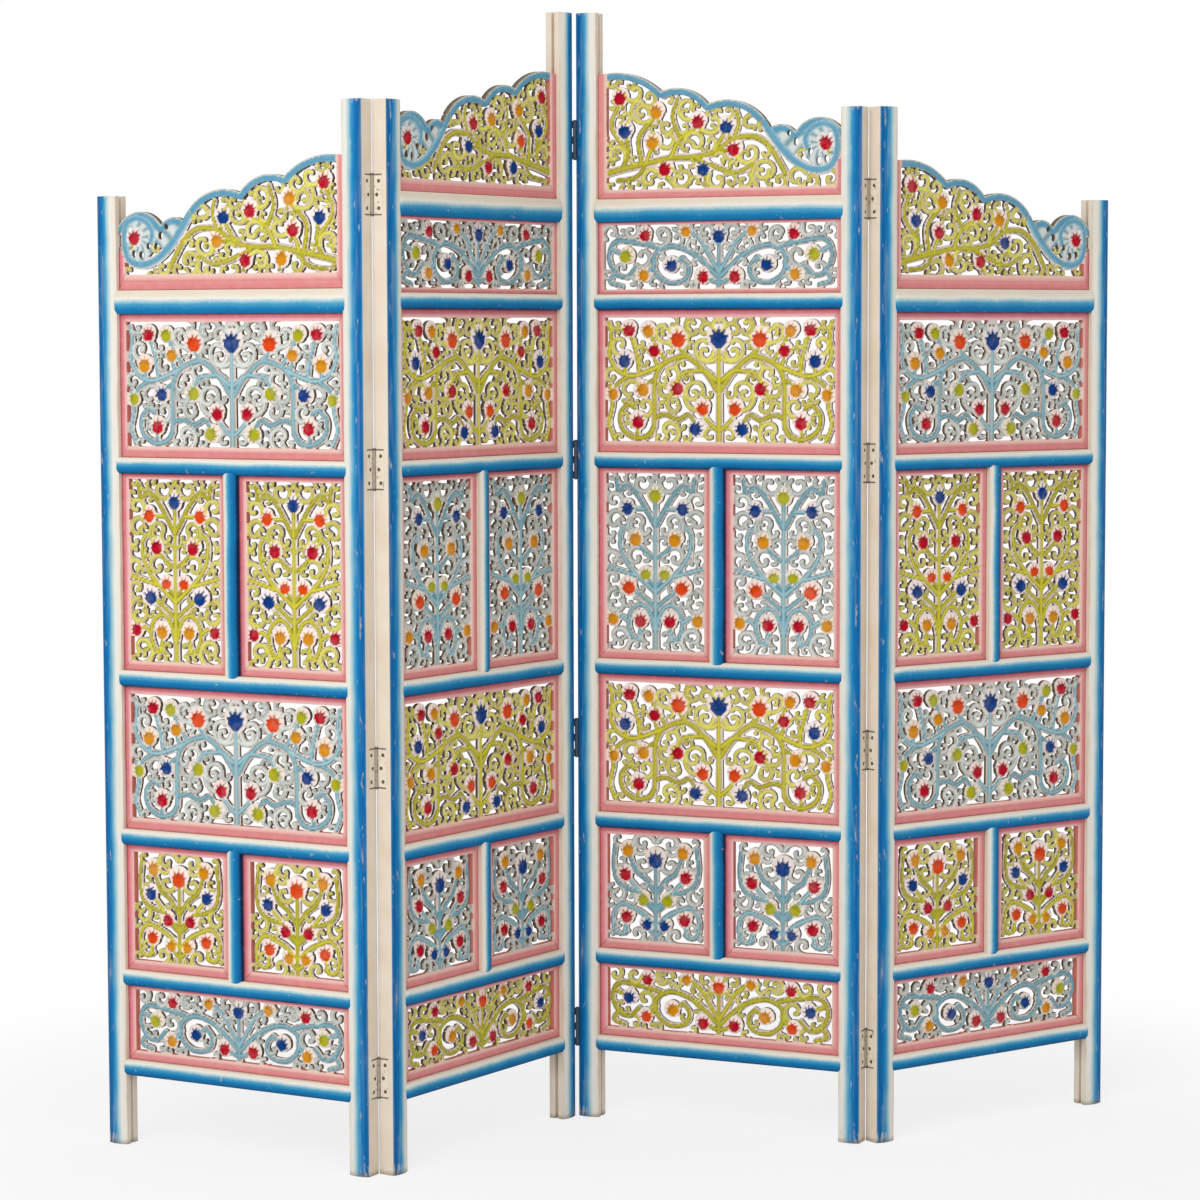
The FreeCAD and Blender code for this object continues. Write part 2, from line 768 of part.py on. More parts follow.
upright = Rotation(Vector(0, 1, 0), -90)
low_stile = size("low_stile_height")
middle_stile = size("middle_stile_height")
tall_stile = size("tall_stile_height")
stile_heights = ((low_stile, middle_stile), (middle_stile, tall_stile), (tall_stile, middle_stile),
                 (middle_stile, low_stile))
field_middle = leaf_width / 2
second_half = stile_width + half_field_width + mullion_width
for leaf in range(len(angles)):
    name = f"leaf_{leaf + 1}"
    inner_leaf = leaf in (1, 2)
    rising = 1 if leaf < 2 else -1
    left_height, right_height = stile_heights[leaf]
    sides = ((1, left_height, leaf - 1, "left"), (-1, right_height, leaf, "right"))
    for hand, height, joint, side in sides:
        hinged = 0 <= joint < len(pins_at_back)
        at_back = hinged and pins_at_back[joint]
        hinges = (side_hinges if at_back else middle_hinges) if hinged else []
        stile = make_stile(f"{side}_stile_of_{name}", hand, height, hinges, at_back)
        edge = NONE if hand > 0 else leaf_width
        add_node(f"{name}_{side}_stile", leaf, [(stile, at(edge, NONE))])
    top = "head" if inner_leaf else "shoulder"
    crossing = ["base", "lower", "middle", "upper"] + (["shoulder"] if inner_leaf else [])
    rails = [(foot_rail, at(field_middle, centres["foot"]))]
    rails += [(cross_rail, at(field_middle, centres[rail])) for rail in crossing]
    rails.append((crest_rail, at(field_middle, centres[top])))
    add_node(f"{name}_rails", leaf, rails)
    add_node(f"{name}_mullions", leaf, [
        (tall_mullion, at(field_middle, (centres["middle"] + centres["upper"]) / 2, upright)),
        (small_mullion, at(field_middle, (centres["base"] + centres["lower"]) / 2, upright)),
    ])
    sill = rail_height / 2
    crest_sill = centres[top] + crest_rail_height / 2
    add_node(f"{name}_crest_panel", leaf, [(crests[rising], at(stile_width, crest_sill))])
    if inner_leaf:
        top_strip = at(stile_width, centres["shoulder"] + sill)
        add_node(f"{name}_top_strip_panel", leaf, [(panels["top_strip"], top_strip)])
    upper = panels["inner_wide" if inner_leaf else "outer_wide"]
    add_node(f"{name}_upper_wide_panel", leaf, [(upper, at(stile_width, centres["upper"] + sill))])
    for row, rail in (("tall", "middle"), ("small", "base")):
        pair = [(panels[row], at(start, centres[rail] + sill)) for start in (stile_width, second_half)]
        add_node(f"{name}_{row}_panels", leaf, pair)
    add_node(f"{name}_lower_wide_panel", leaf, [(panels["wide"], at(stile_width, centres["lower"] + sill))])
    add_node(f"{name}_base_strip_panel", leaf, [(panels["strip"], at(stile_width, centres["foot"] + sill))])

for joint, at_back in enumerate(pins_at_back):
    hinges = side_hinges if at_back else middle_hinges
    joint_name = f"hinge_{joint + 1}"
    pin_leaf = max(joint, 1)
    for hand, side, leaf in ((-1, "left", joint), (1, "right", joint + 1)):
        axis = pin_in_leaf(hand, at_back)
        hung = [Placement(axis + Vector(0, 0, height.value), Rotation()) for height in hinges]
        add_node(f"{joint_name}_{side}_plates", leaf, [(plates[hand, at_back], spot) for spot in hung])
        screw = screws[hand]
        driven = []
        for spot in hung:
            for screw_spot in hinge_screw_places(hand, at_back):
                turned = Placement(spot.Base + Vector(*screw_spot), screw.Placement.Rotation)
                driven.append((screw, turned))
        add_node(f"{joint_name}_{side}_screws", leaf, driven)
    pin_hand = 1 if pin_leaf > joint else -1
    axis = pin_in_leaf(pin_hand, at_back)
    standing = [Placement(axis + Vector(0, 0, height.value), Rotation()) for height in hinges]
    add_node(f"{joint_name}_pins", pin_leaf, [(hinge_pin, spot) for spot in standing])

# The origin lies on the floor under the middle of the standing screen
doc.recompute()
reach = FreeCAD.BoundBox()
for node, leaf in nodes:
    node.Placement = Placement(corners[leaf], leaf_rotation(leaf))
    if node.Label.endswith("stile"):
        reach.add(node.Shape.optimalBoundingBox())
middle = Vector(reach.Center.x, reach.Center.y, reach.ZMin)
for node, leaf in nodes:
    node.Placement = Placement(corners[leaf] - middle, leaf_rotation(leaf))
doc.recompute()

for thing in doc.Objects:
    if "Invalid" in thing.State or "Error" in thing.State:
        raise RuntimeError(f"{thing.Label} failed: {thing.State}")
for node, leaf in nodes:
    if node.Shape.isNull() or not node.Shape.isValid():
        raise RuntimeError(f"{node.Label} has no valid shape")

os.makedirs("parts", exist_ok=True)
for node, leaf in nodes:
    node.Shape.exportStep(f"parts/{node.Label}.step")
for joint, axis in enumerate(pin_axes):
    spot = axis - middle
    print(f"pin axis {joint + 1}: {spot.x:.4f} {spot.y:.4f}")
print(f"{len(nodes)} nodes, {sum(len(node.Shape.Solids) for node, leaf in nodes)} solids")
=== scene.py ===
import json
import math

import bpy
import numpy as np
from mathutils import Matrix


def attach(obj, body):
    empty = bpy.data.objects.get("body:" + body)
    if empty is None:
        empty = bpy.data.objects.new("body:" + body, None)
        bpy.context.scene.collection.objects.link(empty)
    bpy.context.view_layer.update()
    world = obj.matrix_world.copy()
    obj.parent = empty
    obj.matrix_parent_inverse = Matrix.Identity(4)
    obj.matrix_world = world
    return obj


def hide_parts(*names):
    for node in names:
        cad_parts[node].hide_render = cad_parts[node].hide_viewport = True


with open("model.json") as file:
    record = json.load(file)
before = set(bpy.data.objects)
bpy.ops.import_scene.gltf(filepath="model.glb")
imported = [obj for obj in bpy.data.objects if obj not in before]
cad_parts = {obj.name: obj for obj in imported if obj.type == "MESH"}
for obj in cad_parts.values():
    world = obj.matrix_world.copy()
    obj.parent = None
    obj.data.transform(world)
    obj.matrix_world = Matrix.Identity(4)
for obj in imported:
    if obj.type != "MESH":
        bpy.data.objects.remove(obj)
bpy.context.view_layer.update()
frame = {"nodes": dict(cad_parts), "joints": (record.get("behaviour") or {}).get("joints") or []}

# Stiles: eight domed posts of mango wood, two to a leaf, grooved along their inner edges.
# They are limewashed cream, then brushed blue along the outer side, and paler on the arris.
# A leaf is drawn flat in mm, x from its left edge, y back from the crowns and z up, then stood.
leaf_width = 500.0
stile_width = 36.0
thickness = 31.0
crown_rise = 4.0
pin_gap = 0.6
back_pin = 31.4
front_pin = -0.5
leaf_angles = np.radians((-29.9, 54.9, -25.8, 35.0))
pins = [np.array(joint["pos_m"][:2]) * 1000 for joint in frame["joints"]]


def turn(angle):
    """Matrix that turns plan points anticlockwise by an angle."""
    return np.array([[math.cos(angle), -math.sin(angle)], [math.sin(angle), math.cos(angle)]])


leaf_corners = [pins[0] - turn(leaf_angles[0]) @ [leaf_width + pin_gap, back_pin]]
for joint, depth in enumerate((back_pin, front_pin, back_pin)):
    leaf_corners.append(pins[joint] - turn(leaf_angles[joint + 1]) @ [-pin_gap, depth])


def linear(code):
    """sRGB hex colour as linear light: each channel through the sRGB curve."""
    rgb = np.array([int(code[place:place + 2], 16) for place in (1, 3, 5)]) / 255
    return np.where(rgb <= 0.04045, rgb / 12.92, ((rgb + 0.055) / 1.055) ** 2.4)


def add_node(tree, kind, sockets, **settings):
    """Add one shader node with its settings, fill or link its sockets, and give its outputs."""
    node = tree.nodes.new(kind)
    for name, value in settings.items():
        if name == "stops":
            node.color_ramp.elements.remove(node.color_ramp.elements[1])
            for place, code in value:
                stop = node.color_ramp.elements.new(place)
                stop.color = (*linear(code), 1)
            node.color_ramp.elements.remove(node.color_ramp.elements[0])
        else:
            setattr(node, name, value)
    for name, value in sockets.items():
        if isinstance(value, bpy.types.NodeSocket):
            tree.links.new(value, node.inputs[name])
        else:
            node.inputs[name].default_value = (*linear(value), 1) if isinstance(value, str) else value
    return node.outputs


def start_material(name):
    """New material with an empty tree of nodes."""
    material = bpy.data.materials.new(name)
    material.use_nodes = True
    material.node_tree.nodes.clear()
    return material, material.node_tree


# The coat is a ramp over 60 mm from the outer edge; streaks and drifts push it aside by these mm.
coat_span = 60.0
streak_push, drift_push = 5.0, 6.0
coat_shift = (streak_push + drift_push) / 2
scuffed_foot, scuffed_top, darker_foot = 26.0, 9.0, 9.0
stile_coat = (
    (-4, "#6FA8C4"), (0, "#1F7AB0"), (4, "#075C9A"), (12, "#0A77B4"), (17, "#4499C2"), (22, "#A9CAD0"),
    (27, "#E6E5DE"), (34, "#E9E0D2"), (38, "#BBA282"),
)
stile_stops = [((place + coat_shift) / coat_span, code) for place, code in stile_coat]


def stile_paint(leaf, left, height):
    """Limewash under brushed blue, dull and streaky. Counted in mm from the outer edge the coat runs
    from a paler arris through blue to cream; 7 mm wide streaks and 60 mm drifts push it aside.
    The sides stay cream, chips 5 mm wide and 22 mm long crowd at the scuffed feet and tops, and
    the paint goes darker brown over the last 9 mm above the floor."""
    material, tree = start_material(f"brushed_blue_and_cream_stile_{leaf + 1}_{'left' if left else 'right'}")
    angle = leaf_angles[leaf]
    corner = -(turn(-angle) @ leaf_corners[leaf])
    where = add_node(tree, "ShaderNodeTexCoord", {})["Object"]
    where = add_node(tree, "ShaderNodeMapping", {
        "Vector": where, "Location": (*corner, 0), "Rotation": (0, 0, -angle), "Scale": (1000,) * 3})[0]
    x, y, z = add_node(tree, "ShaderNodeSeparateXYZ", {0: where})
    sign, start = (1, 0) if left else (-1, leaf_width)
    grain = add_node(tree, "ShaderNodeMapping", {"Vector": where, "Scale": (1 / 7, 1 / 7, 1 / 110)})[0]
    streak = add_node(tree, "ShaderNodeTexNoise", {"Vector": grain, "Scale": 1, "Detail": 4})[0]
    drift = add_node(tree, "ShaderNodeTexNoise", {"Vector": where, "Scale": 1 / 60, "Detail": 2})[0]
    coat = add_node(tree, "ShaderNodeMath", {0: x, 1: sign, 2: start}, operation="MULTIPLY_ADD")[0]
    coat = add_node(tree, "ShaderNodeMath", {0: streak, 1: streak_push, 2: coat}, operation="MULTIPLY_ADD")[0]
    coat = add_node(tree, "ShaderNodeMath", {0: drift, 1: drift_push, 2: coat}, operation="MULTIPLY_ADD")[0]
    coat = add_node(tree, "ShaderNodeMath", {0: coat, 1: coat_span}, operation="DIVIDE")[0]
    body = add_node(tree, "ShaderNodeValToRGB", {0: coat}, stops=stile_stops)[0]
    faded = add_node(tree, "ShaderNodeMapRange", {0: streak, 1: 0.5, 2: 0.8, 3: 0, 4: 0.24})[0]
    body = add_node(tree, "ShaderNodeMix", {0: faded, 6: body, 7: "#CDBB9C"}, data_type="RGBA")[2]
    bare = add_node(tree, "ShaderNodeMix", {0: drift, 6: "#EFE6DA", 7: "#D9C7AE"}, data_type="RGBA")[2]
    front = add_node(tree, "ShaderNodeMapRange", {0: y, 1: crown_rise - 0.4, 2: crown_rise + 0.6})[0]
    back = add_node(tree, "ShaderNodeMapRange", {0: y, 1: thickness - 0.8, 2: thickness - 0.1})[0]
    side = add_node(tree, "ShaderNodeMath", {0: front, 1: back}, operation="SUBTRACT")[0]
    body = add_node(tree, "ShaderNodeMix", {0: side, 6: body, 7: bare}, data_type="RGBA")[2]
    foot = add_node(tree, "ShaderNodeMapRange", {0: z, 1: scuffed_foot, 2: 3, 3: 0, 4: 0.16})[0]
    top = add_node(tree, "ShaderNodeMapRange", {
        0: z, 1: height - scuffed_top, 2: height, 3: 0, 4: 0.12})[0]
    ends = add_node(tree, "ShaderNodeMath", {0: foot, 1: top}, operation="ADD")[0]
    chips = add_node(tree, "ShaderNodeMapping", {"Vector": where, "Scale": (1 / 5, 1 / 5, 1 / 22)})[0]
    chips = add_node(tree, "ShaderNodeTexNoise", {"Vector": chips, "Scale": 1, "Detail": 5})[0]
    chips = add_node(tree, "ShaderNodeMath", {0: chips, 1: ends}, operation="ADD")[0]
    chips = add_node(tree, "ShaderNodeMapRange", {0: chips, 1: 0.63, 2: 0.72, 3: 0, 4: 0.5})[0]
    body = add_node(tree, "ShaderNodeMix", {0: chips, 6: body, 7: "#D9CBB0"}, data_type="RGBA")[2]
    # Darker brown towards the bottom: most at the floor, gone 9 mm above it.
    darkening = add_node(tree, "ShaderNodeMapRange", {0: z, 1: darker_foot, 2: 0, 3: 0, 4: 0.6})[0]
    body = add_node(tree, "ShaderNodeMix", {0: darkening, 6: body, 7: "#6E5A43"}, data_type="RGBA")[2]
    bump = add_node(tree, "ShaderNodeBump", {"Height": streak, "Strength": 0.35, "Distance": 0.001})[0]
    shader = add_node(tree, "ShaderNodeBsdfPrincipled", {
        "Base Color": body, "Roughness": 0.6, "Specular IOR Level": 0.1, "Normal": bump})
    add_node(tree, "ShaderNodeOutputMaterial", {"Surface": shader[0]})
    return material


def repaint(node_name, material):
    """Give a CAD node this finish in place of its own."""
    slots = frame["nodes"][node_name].data.materials
    slots.clear()
    slots.append(material)


stile_heights = ((1527.0, 1665.0), (1665.0, 1830.0), (1830.0, 1665.0), (1665.0, 1527.0))
for leaf, heights in enumerate(stile_heights):
    repaint(f"leaf_{leaf + 1}_left_stile", stile_paint(leaf, True, heights[0]))
    repaint(f"leaf_{leaf + 1}_right_stile", stile_paint(leaf, False, heights[1]))

# Rails and mullions: domed bars of the same wood, coped over the flanks of the stiles they meet.
# They are brushed cream along the upper or left side and blue along the other, in one wet blend; the navy at
# the lower or right edge is painted shade.
# Stub tenons hold them in the grooves of the stiles and of each other.
rail_height, crest_rail_height = 25.0, 37.0
half_rail, half_crest_rail = rail_height / 2, crest_rail_height / 2
field_width = leaf_width - 2 * stile_width
leaf_middle = leaf_width / 2
# Heights of the rails' middles. The outer leaves have the crest rail where the inner have the shoulder.
foot_z, base_z, lower_z, middle_z, upper_z, shoulder_z = 127.0, 274.0, 503.0, 759.0, 1100.0, 1359.0
crest_rail_z = (1359.0, 1508.0, 1508.0, 1359.0)
small_row = lower_z - base_z - rail_height
tall_row = upper_z - middle_z - rail_height
mullion_rows = ((tall_row, (middle_z + upper_z) / 2), (small_row, (base_z + lower_z) / 2))
# How far in a bar's ends are rounded, how far they lap at most, and where the waver reaches full size.
bar_end_round, most_lap, calm_end = 8.0, 5.0, 20.0


def stand(leaf, points):
    """Points of a flat leaf, in mm, turned and moved to where that leaf stands, in metres."""
    plan = points[:, :2] @ turn(leaf_angles[leaf]).T + leaf_corners[leaf]
    return np.column_stack([plan, points[:, 2]]) / 1000


def add_piece(name, leaf, points, faces, attribute, values, sharp):
    """Mesh of quads from leaf points, with a colour or a number on each face corner."""
    mesh = bpy.data.meshes.new(name)
    mesh.vertices.add(len(points))
    mesh.vertices.foreach_set("co", stand(leaf, points).astype(np.float32).ravel())
    mesh.loops.add(faces.size)
    mesh.loops.foreach_set("vertex_index", faces.ravel().astype(np.int32))
    mesh.polygons.add(len(faces))
    mesh.polygons.foreach_set("loop_start", np.arange(len(faces), dtype=np.int32) * 4)
    mesh.update(calc_edges=True)
    if values.ndim == 2:
        layer = mesh.attributes.new(attribute, "FLOAT_COLOR", "CORNER")
        layer.data.foreach_set("color", np.column_stack([values, np.ones(len(values))]).ravel())
    else:
        mesh.attributes.new(attribute, "FLOAT", "CORNER").data.foreach_set("value", values.ravel())
    mesh.shade_smooth()
    mesh.set_sharp_from_angle(angle=math.radians(sharp))
    piece = bpy.data.objects.new(name, mesh)
    bpy.context.scene.collection.objects.link(piece)
    return piece


def bar_surface(span, width, neighbour, seed):
    """A ring of profile points, domed in front and square behind, carried along x. Each end laps over
    the neighbour's dome and rounds off in a quarter circle, and the crown wavers as if planed by hand."""
    random = np.random.default_rng(seed)
    side = np.linspace(-1, 1, 14)
    radius = (width ** 2 / 4 + crown_rise ** 2) / (2 * crown_rise)
    dome = radius - np.sqrt(radius ** 2 - (side * width / 2) ** 2)
    y = np.concatenate([dome, [thickness, thickness]])
    across = np.concatenate([side, [1, -1]])
    seat = (neighbour ** 2 / 4 + crown_rise ** 2) / (2 * crown_rise)
    lap = neighbour / 2 - np.sqrt(np.clip(seat ** 2 - (seat - np.minimum(y, crown_rise)) ** 2, 0, None))
    end = span / 2 + np.clip(lap, 0, most_lap) * (y < crown_rise - 0.01)
    tip = np.linspace(0, 0.02, 6)
    share = np.concatenate([tip[:-1], np.linspace(0.02, 0.98, 40), 1 - tip[-2::-1]])
    x = (share[:, None] * 2 - 1) * end
    from_end = end - np.abs(x)
    cap = np.sqrt(1 - np.clip(1 - from_end / bar_end_round, 0, 1) ** 2)
    waver = np.convolve(random.normal(0, 0.14, len(share) + 8), np.ones(9) / 5, "valid")[:, None]
    waver = waver * np.clip(from_end / calm_end, 0, 1) * (y < crown_rise - 0.5)
    domed = crown_rise - (crown_rise - y) * cap + waver
    y = np.where(y < crown_rise + 0.01, domed, y)
    points = np.stack([x, y, np.broadcast_to(across * width / 2, x.shape)], -1).reshape(-1, 3)
    rings, sides = x.shape
    ring = np.arange(rings - 1)[:, None] * sides
    step = np.arange(sides)[None]
    following = (step + 1) % sides
    quads = np.stack([ring + step, ring + sides + step, ring + sides + following, ring + following], -1)
    fan = np.arange(1, sides - 1, 2)
    cap_quads = np.stack([0 * fan, fan, fan + 1, fan + 2], -1)
    cap_quads = [cap_quads, cap_quads[:, ::-1] + (rings - 1) * sides]
    return points, np.vstack([quads.reshape(-1, 4)] + cap_quads), np.tile(across, rings)


# Cream and blue are the paint. The navy at -1, along a rail's lower edge and a mullion's right edge, is
# painted shade.
rail_coat = (
    (-1, "#06345C"), (-0.85, "#0C5F96"), (-0.25, "#127DB4"), (0.15, "#4C9DC2"), (0.42, "#AFCFD4"),
    (0.62, "#EAE5DC"), (1, "#E2D5C2"),
)
rail_stops = [((place + 1) / 2, code) for place, code in rail_coat]
crest_rail_lean = 0.35
# Brush paint on planed wood, dull and blended wet: drifts 80 mm long, bristle streaks 6 mm wide and 9 mm
# chips. Object coordinates are in metres.
bar_paint, tree = start_material("brushed_blue_and_cream_rail_paint")
where = add_node(tree, "ShaderNodeTexCoord", {})["Object"]
across = add_node(tree, "ShaderNodeAttribute", {}, attribute_name="across")["Fac"]
drift = add_node(tree, "ShaderNodeTexNoise", {"Vector": where, "Scale": 1000 / 80, "Detail": 2})[0]
streak = add_node(tree, "ShaderNodeTexNoise", {"Vector": where, "Scale": 1000 / 6, "Detail": 3})[0]
coat = add_node(tree, "ShaderNodeMath", {0: drift, 1: 0.4, 2: across}, operation="MULTIPLY_ADD")[0]
coat = add_node(tree, "ShaderNodeMath", {0: streak, 1: 0.2, 2: coat}, operation="MULTIPLY_ADD")[0]
coat = add_node(tree, "ShaderNodeMath", {0: coat, 1: 0.5, 2: 0.35}, operation="MULTIPLY_ADD")[0]
body = add_node(tree, "ShaderNodeValToRGB", {0: coat}, stops=rail_stops)[0]
chips = add_node(tree, "ShaderNodeTexNoise", {"Vector": where, "Scale": 1000 / 9, "Detail": 5})[0]
chips = add_node(tree, "ShaderNodeMapRange", {0: chips, 1: 0.66, 2: 0.74, 3: 0, 4: 0.4})[0]
body = add_node(tree, "ShaderNodeMix", {0: chips, 6: body, 7: "#D8C9AC"}, data_type="RGBA")[2]
bump = add_node(tree, "ShaderNodeBump", {"Height": streak, "Strength": 0.25, "Distance": 0.001})[0]
shader = add_node(tree, "ShaderNodeBsdfPrincipled", {
    "Base Color": body, "Roughness": 0.6, "Specular IOR Level": 0.1, "Normal": bump})
add_node(tree, "ShaderNodeOutputMaterial", {"Surface": shader[0]})


def set_bars(node_name, leaf, bars):
    """The bars of a node as one piece. A bar is its span, its width, its neighbour's width, its place, how
    far its coat leans to the cream, and whether it stands upright."""
    points, quads, coats = [], [], []
    count = 0
    for number, (span, width, neighbour, x, z, lean, upright) in enumerate(bars):
        spots, faces, coat = bar_surface(span, width, neighbour, 100 * leaf + number)
        if upright:
            spots = np.column_stack([-spots[:, 2], spots[:, 1], spots[:, 0]])
        points.append(spots + (x, 0, z))
        quads.append(faces + count)
        coats.append(np.clip(coat + lean, -1, 1))
        count += len(spots)
    quads = np.vstack(quads)
    coats = np.concatenate(coats)[quads.ravel()]
    piece = add_piece(node_name + "_painted", leaf, np.vstack(points), quads, "across", coats, 40)
    piece.data.materials.append(bar_paint)
    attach(piece, f"leaf_{leaf + 1}")
    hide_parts(node_name)


inner_leaves = (1, 2)
for leaf in range(4):
    centres = [foot_z, base_z, lower_z, middle_z, upper_z]
    if leaf in inner_leaves:
        centres.append(shoulder_z)
    bars = [(field_width, rail_height, stile_width, leaf_middle, z, 0, False) for z in centres]
    bars.append((
        field_width, crest_rail_height, stile_width, leaf_middle, crest_rail_z[leaf], crest_rail_lean, False))
    set_bars(f"leaf_{leaf + 1}_rails", leaf, bars)
    set_bars(f"leaf_{leaf + 1}_mullions", leaf, [
        (span, rail_height, rail_height, leaf_middle, z, 0, True) for span, z in mullion_rows])

# Pierced panels: boards of mango wood, sawn through round a vine, carved and brush-painted.
# The vine rises from the sill, forks both ways alike and carries tulip heads on pale shelves.
# Each board sits in the grooves of stiles, rails and mullions with a pink border left in sight.
# The step of a board's grid, the y of its two faces, and how far round a shape its distance is kept.
cell = 2.2
panel_front = 11.0
panel_back = 23.0
reach = 24.0
GROUND, VINE, FILL, BLUE, RED, ORANGE, AMBER, LEAF, BAND, RIM, LOBE = range(1, 12)
flower_letters = {"B": BLUE, "R": RED, "O": ORANGE, "A": AMBER, "L": LEAF}


def smooth_line(points, step=4.0):
    """Cubic line through its points: between two of them it bends by the points before and after."""
    spots = np.asarray(points, float)
    spots = np.vstack([2 * spots[0] - spots[1], spots, 2 * spots[-1] - spots[-2]])
    runs = []
    for before, start, end, after in zip(spots, spots[1:], spots[2:], spots[3:]):
        t = np.linspace(0, 1, max(2, int(np.hypot(*(end - start)) / step)), endpoint=False)[:, None]
        bend = (2 * before - 5 * start + 4 * end - after) * t ** 2
        bend = bend + (3 * start - before - 3 * end + after) * t ** 3
        runs.append(0.5 * (2 * start + (end - before) * t + bend))
    return np.vstack(runs + [spots[-2:-1]])


class Carving:
    """A board on a grid of cells. void is the distance to the nearest wood, below zero in it; depth is
    how far the carving lies under the border's face; role, tone and fade say which paint a spot gets."""

    def __init__(self, width, height, seed):
        self.x = np.linspace(0, width, int(round(width / cell)) + 1)
        self.z = np.linspace(0, height, int(round(height / cell)) + 1)
        self.gx, self.gz = np.meshgrid(self.x, self.z, indexing="ij")
        self.void = np.full(self.gx.shape, reach)
        self.depth = np.full(self.gx.shape, 9.0)
        self.role = np.full(self.gx.shape, GROUND)
        self.tone = np.zeros(self.gx.shape)
        self.fade = np.zeros(self.gx.shape)
        self.random = np.random.default_rng(seed)

    def window(self, low, high):
        """Slices of the grid that hold a box and the reach around it."""
        across = np.searchsorted(self.x, (low[0] - reach, high[0] + reach))
        up = np.searchsorted(self.z, (low[1] - reach, high[1] + reach))
        return slice(*across), slice(*up)

    def lay(self, spot, void, depth, role, tone, fade, over=False):
        """Wood joins what is there; the paint goes to whichever stands higher."""
        self.void[spot] = np.minimum(self.void[spot], void)
        shown = (void < 0.9) & (over | (depth < self.depth[spot]))
        fields = (self.depth, depth), (self.role, role), (self.tone, tone), (self.fade, fade)
        for field, value in fields:
            field[spot] = np.where(shown, value, field[spot])

    def stem(self, line, start, end, crown=1.0, role=VINE, incised=0.0, over=False, shelf=2.8):
        """Rounded bar along a line, its radius going from start to end, on a pale shelf that stands
        out round it. The bar falls away from its crown as a circle does, and a scored line follows it.
        The shelf next to the bar and the sides of vine and fill bars get painted shade."""
        line = np.asarray(line)
        radius = np.linspace(start, end, len(line)) if np.isscalar(start) else start
        spot = self.window(line.min(0), line.max(0))
        gx, gz = self.gx[spot][..., None], self.gz[spot][..., None]
        if not gx.size:
            return
        run = np.diff(line, axis=0)
        along = (gx - line[:-1, 0]) * run[:, 0] + (gz - line[:-1, 1]) * run[:, 1]
        along = np.clip(along / (run ** 2).sum(1).clip(1e-6), 0, 1)
        gap = np.hypot(gx - line[:-1, 0] - along * run[:, 0], gz - line[:-1, 1] - along * run[:, 1])
        thick = radius[:-1] + along * np.diff(radius)
        nearest = (gap - thick).argmin(-1)[..., None]
        gap = np.take_along_axis(gap, nearest, -1)[..., 0]
        thick = np.take_along_axis(thick, nearest, -1)[..., 0]
        outside = gap - thick
        shade = self.random.uniform(0, 1)
        # Painted shade on the shelf next to the bar, fading out over 1.6 mm.
        painted_shade_by_bar = np.clip(1 - outside / 1.6, 0, 1)
        self.lay(spot, outside - shelf, 3.4 + 0.35 * np.clip(outside, 0, 9), GROUND, 0.3 * shade, painted_shade_by_bar)
        share = np.clip(gap / thick, 0, 1)
        score = incised * np.exp(-((share - 0.45) / 0.16) ** 2)
        depth = crown + 0.75 * thick * (1 - np.sqrt(1 - share ** 2)) + score
        tone = np.clip(0.7 * shade + 0.5 * score, 0, 1)
        # The bar's sides go to the role's edge colour: painted shade for vine and fill, a paler edge for the
        # band.
        self.lay(spot, outside, depth, role, tone, np.clip((share - 0.5) / 0.6, 0, 1), over)

    def flower(self, middle, aim, radius, role):
        """Tulip head: a round cup with thin whiskers that fan out from its lip, all on a pale shelf that
        stands out further on the side of the fan."""
        spot = self.window(middle, middle)
        across, up = self.gx[spot] - middle[0], self.gz[spot] - middle[1]
        gap = np.hypot(across, up)
        angle = np.arctan2(up, across) - aim
        angle = np.arctan2(np.sin(angle), np.cos(angle))
        fan = np.clip(np.cos(angle), 0, 1) ** 0.5
        whisker = (0.5 + 0.5 * np.cos(angle * 10)) ** 2
        share = gap / radius
        shelf = gap - radius * (1.35 + 0.55 * fan)
        self.lay(spot, shelf * 0.8, 2.4 + 0.9 * np.clip(share - 0.8, 0, 2), GROUND, 0.3 * whisker, 0)
        edge = radius * (0.94 - 0.12 * fan + 0.6 * fan * whisker)
        depth = 0.2 + 0.7 * share ** 2 + 0.6 * (1 - whisker) * fan * np.clip(share - 0.2, 0, 1)
        tone = np.clip(1.3 * (1 - whisker) * fan * (share - 0.1), 0, 1)
        fade = np.clip(1.8 * (share - 0.95), 0, 0.7) * fan
        self.lay(spot, gap - edge, depth, role, tone, fade, over=True)

    def curls(self, least, inside):
        """Comma curls grow from the nearest wood into the widest gap, one by one, until all are narrow.
        A curl swings round the middle of the gap, closes in on it and ends in a bead."""
        for _ in range(900):
            room = np.where(inside, self.void, 0)
            i, k = np.unravel_index(room.argmax(), room.shape)
            wide = room[i, k]
            if wide < least:
                break
            i1, k1 = np.clip((i, k), 1, np.array(room.shape) - 2)
            slope_x = self.void[i1 + 1, k1] - self.void[i1 - 1, k1]
            slope_z = self.void[i1, k1 + 1] - self.void[i1, k1 - 1]
            begin = math.atan2(-slope_z, -slope_x) if slope_x or slope_z else self.random.uniform(0, 6.28)
            hand = self.random.choice((-1, 1))
            t = np.linspace(0, 1, 14)
            swing = begin + hand * (5.0 if wide > 9 else 3.4) * t ** 1.1
            ring = (wide + 3.5) * (1 - t) ** 0.9 + wide * 0.52 * t ** 0.6 * (1 - 0.5 * t)
            line = np.column_stack([self.x[i] + ring * np.cos(swing), self.z[k] + ring * np.sin(swing)])
            thick = np.clip(wide * 0.27, 1.6, 2.8) * (1.25 - 0.5 * t) + 0.7 * (t > 0.88)
            self.stem(line, thick, None, crown=1.9, role=FILL, shelf=1.3)

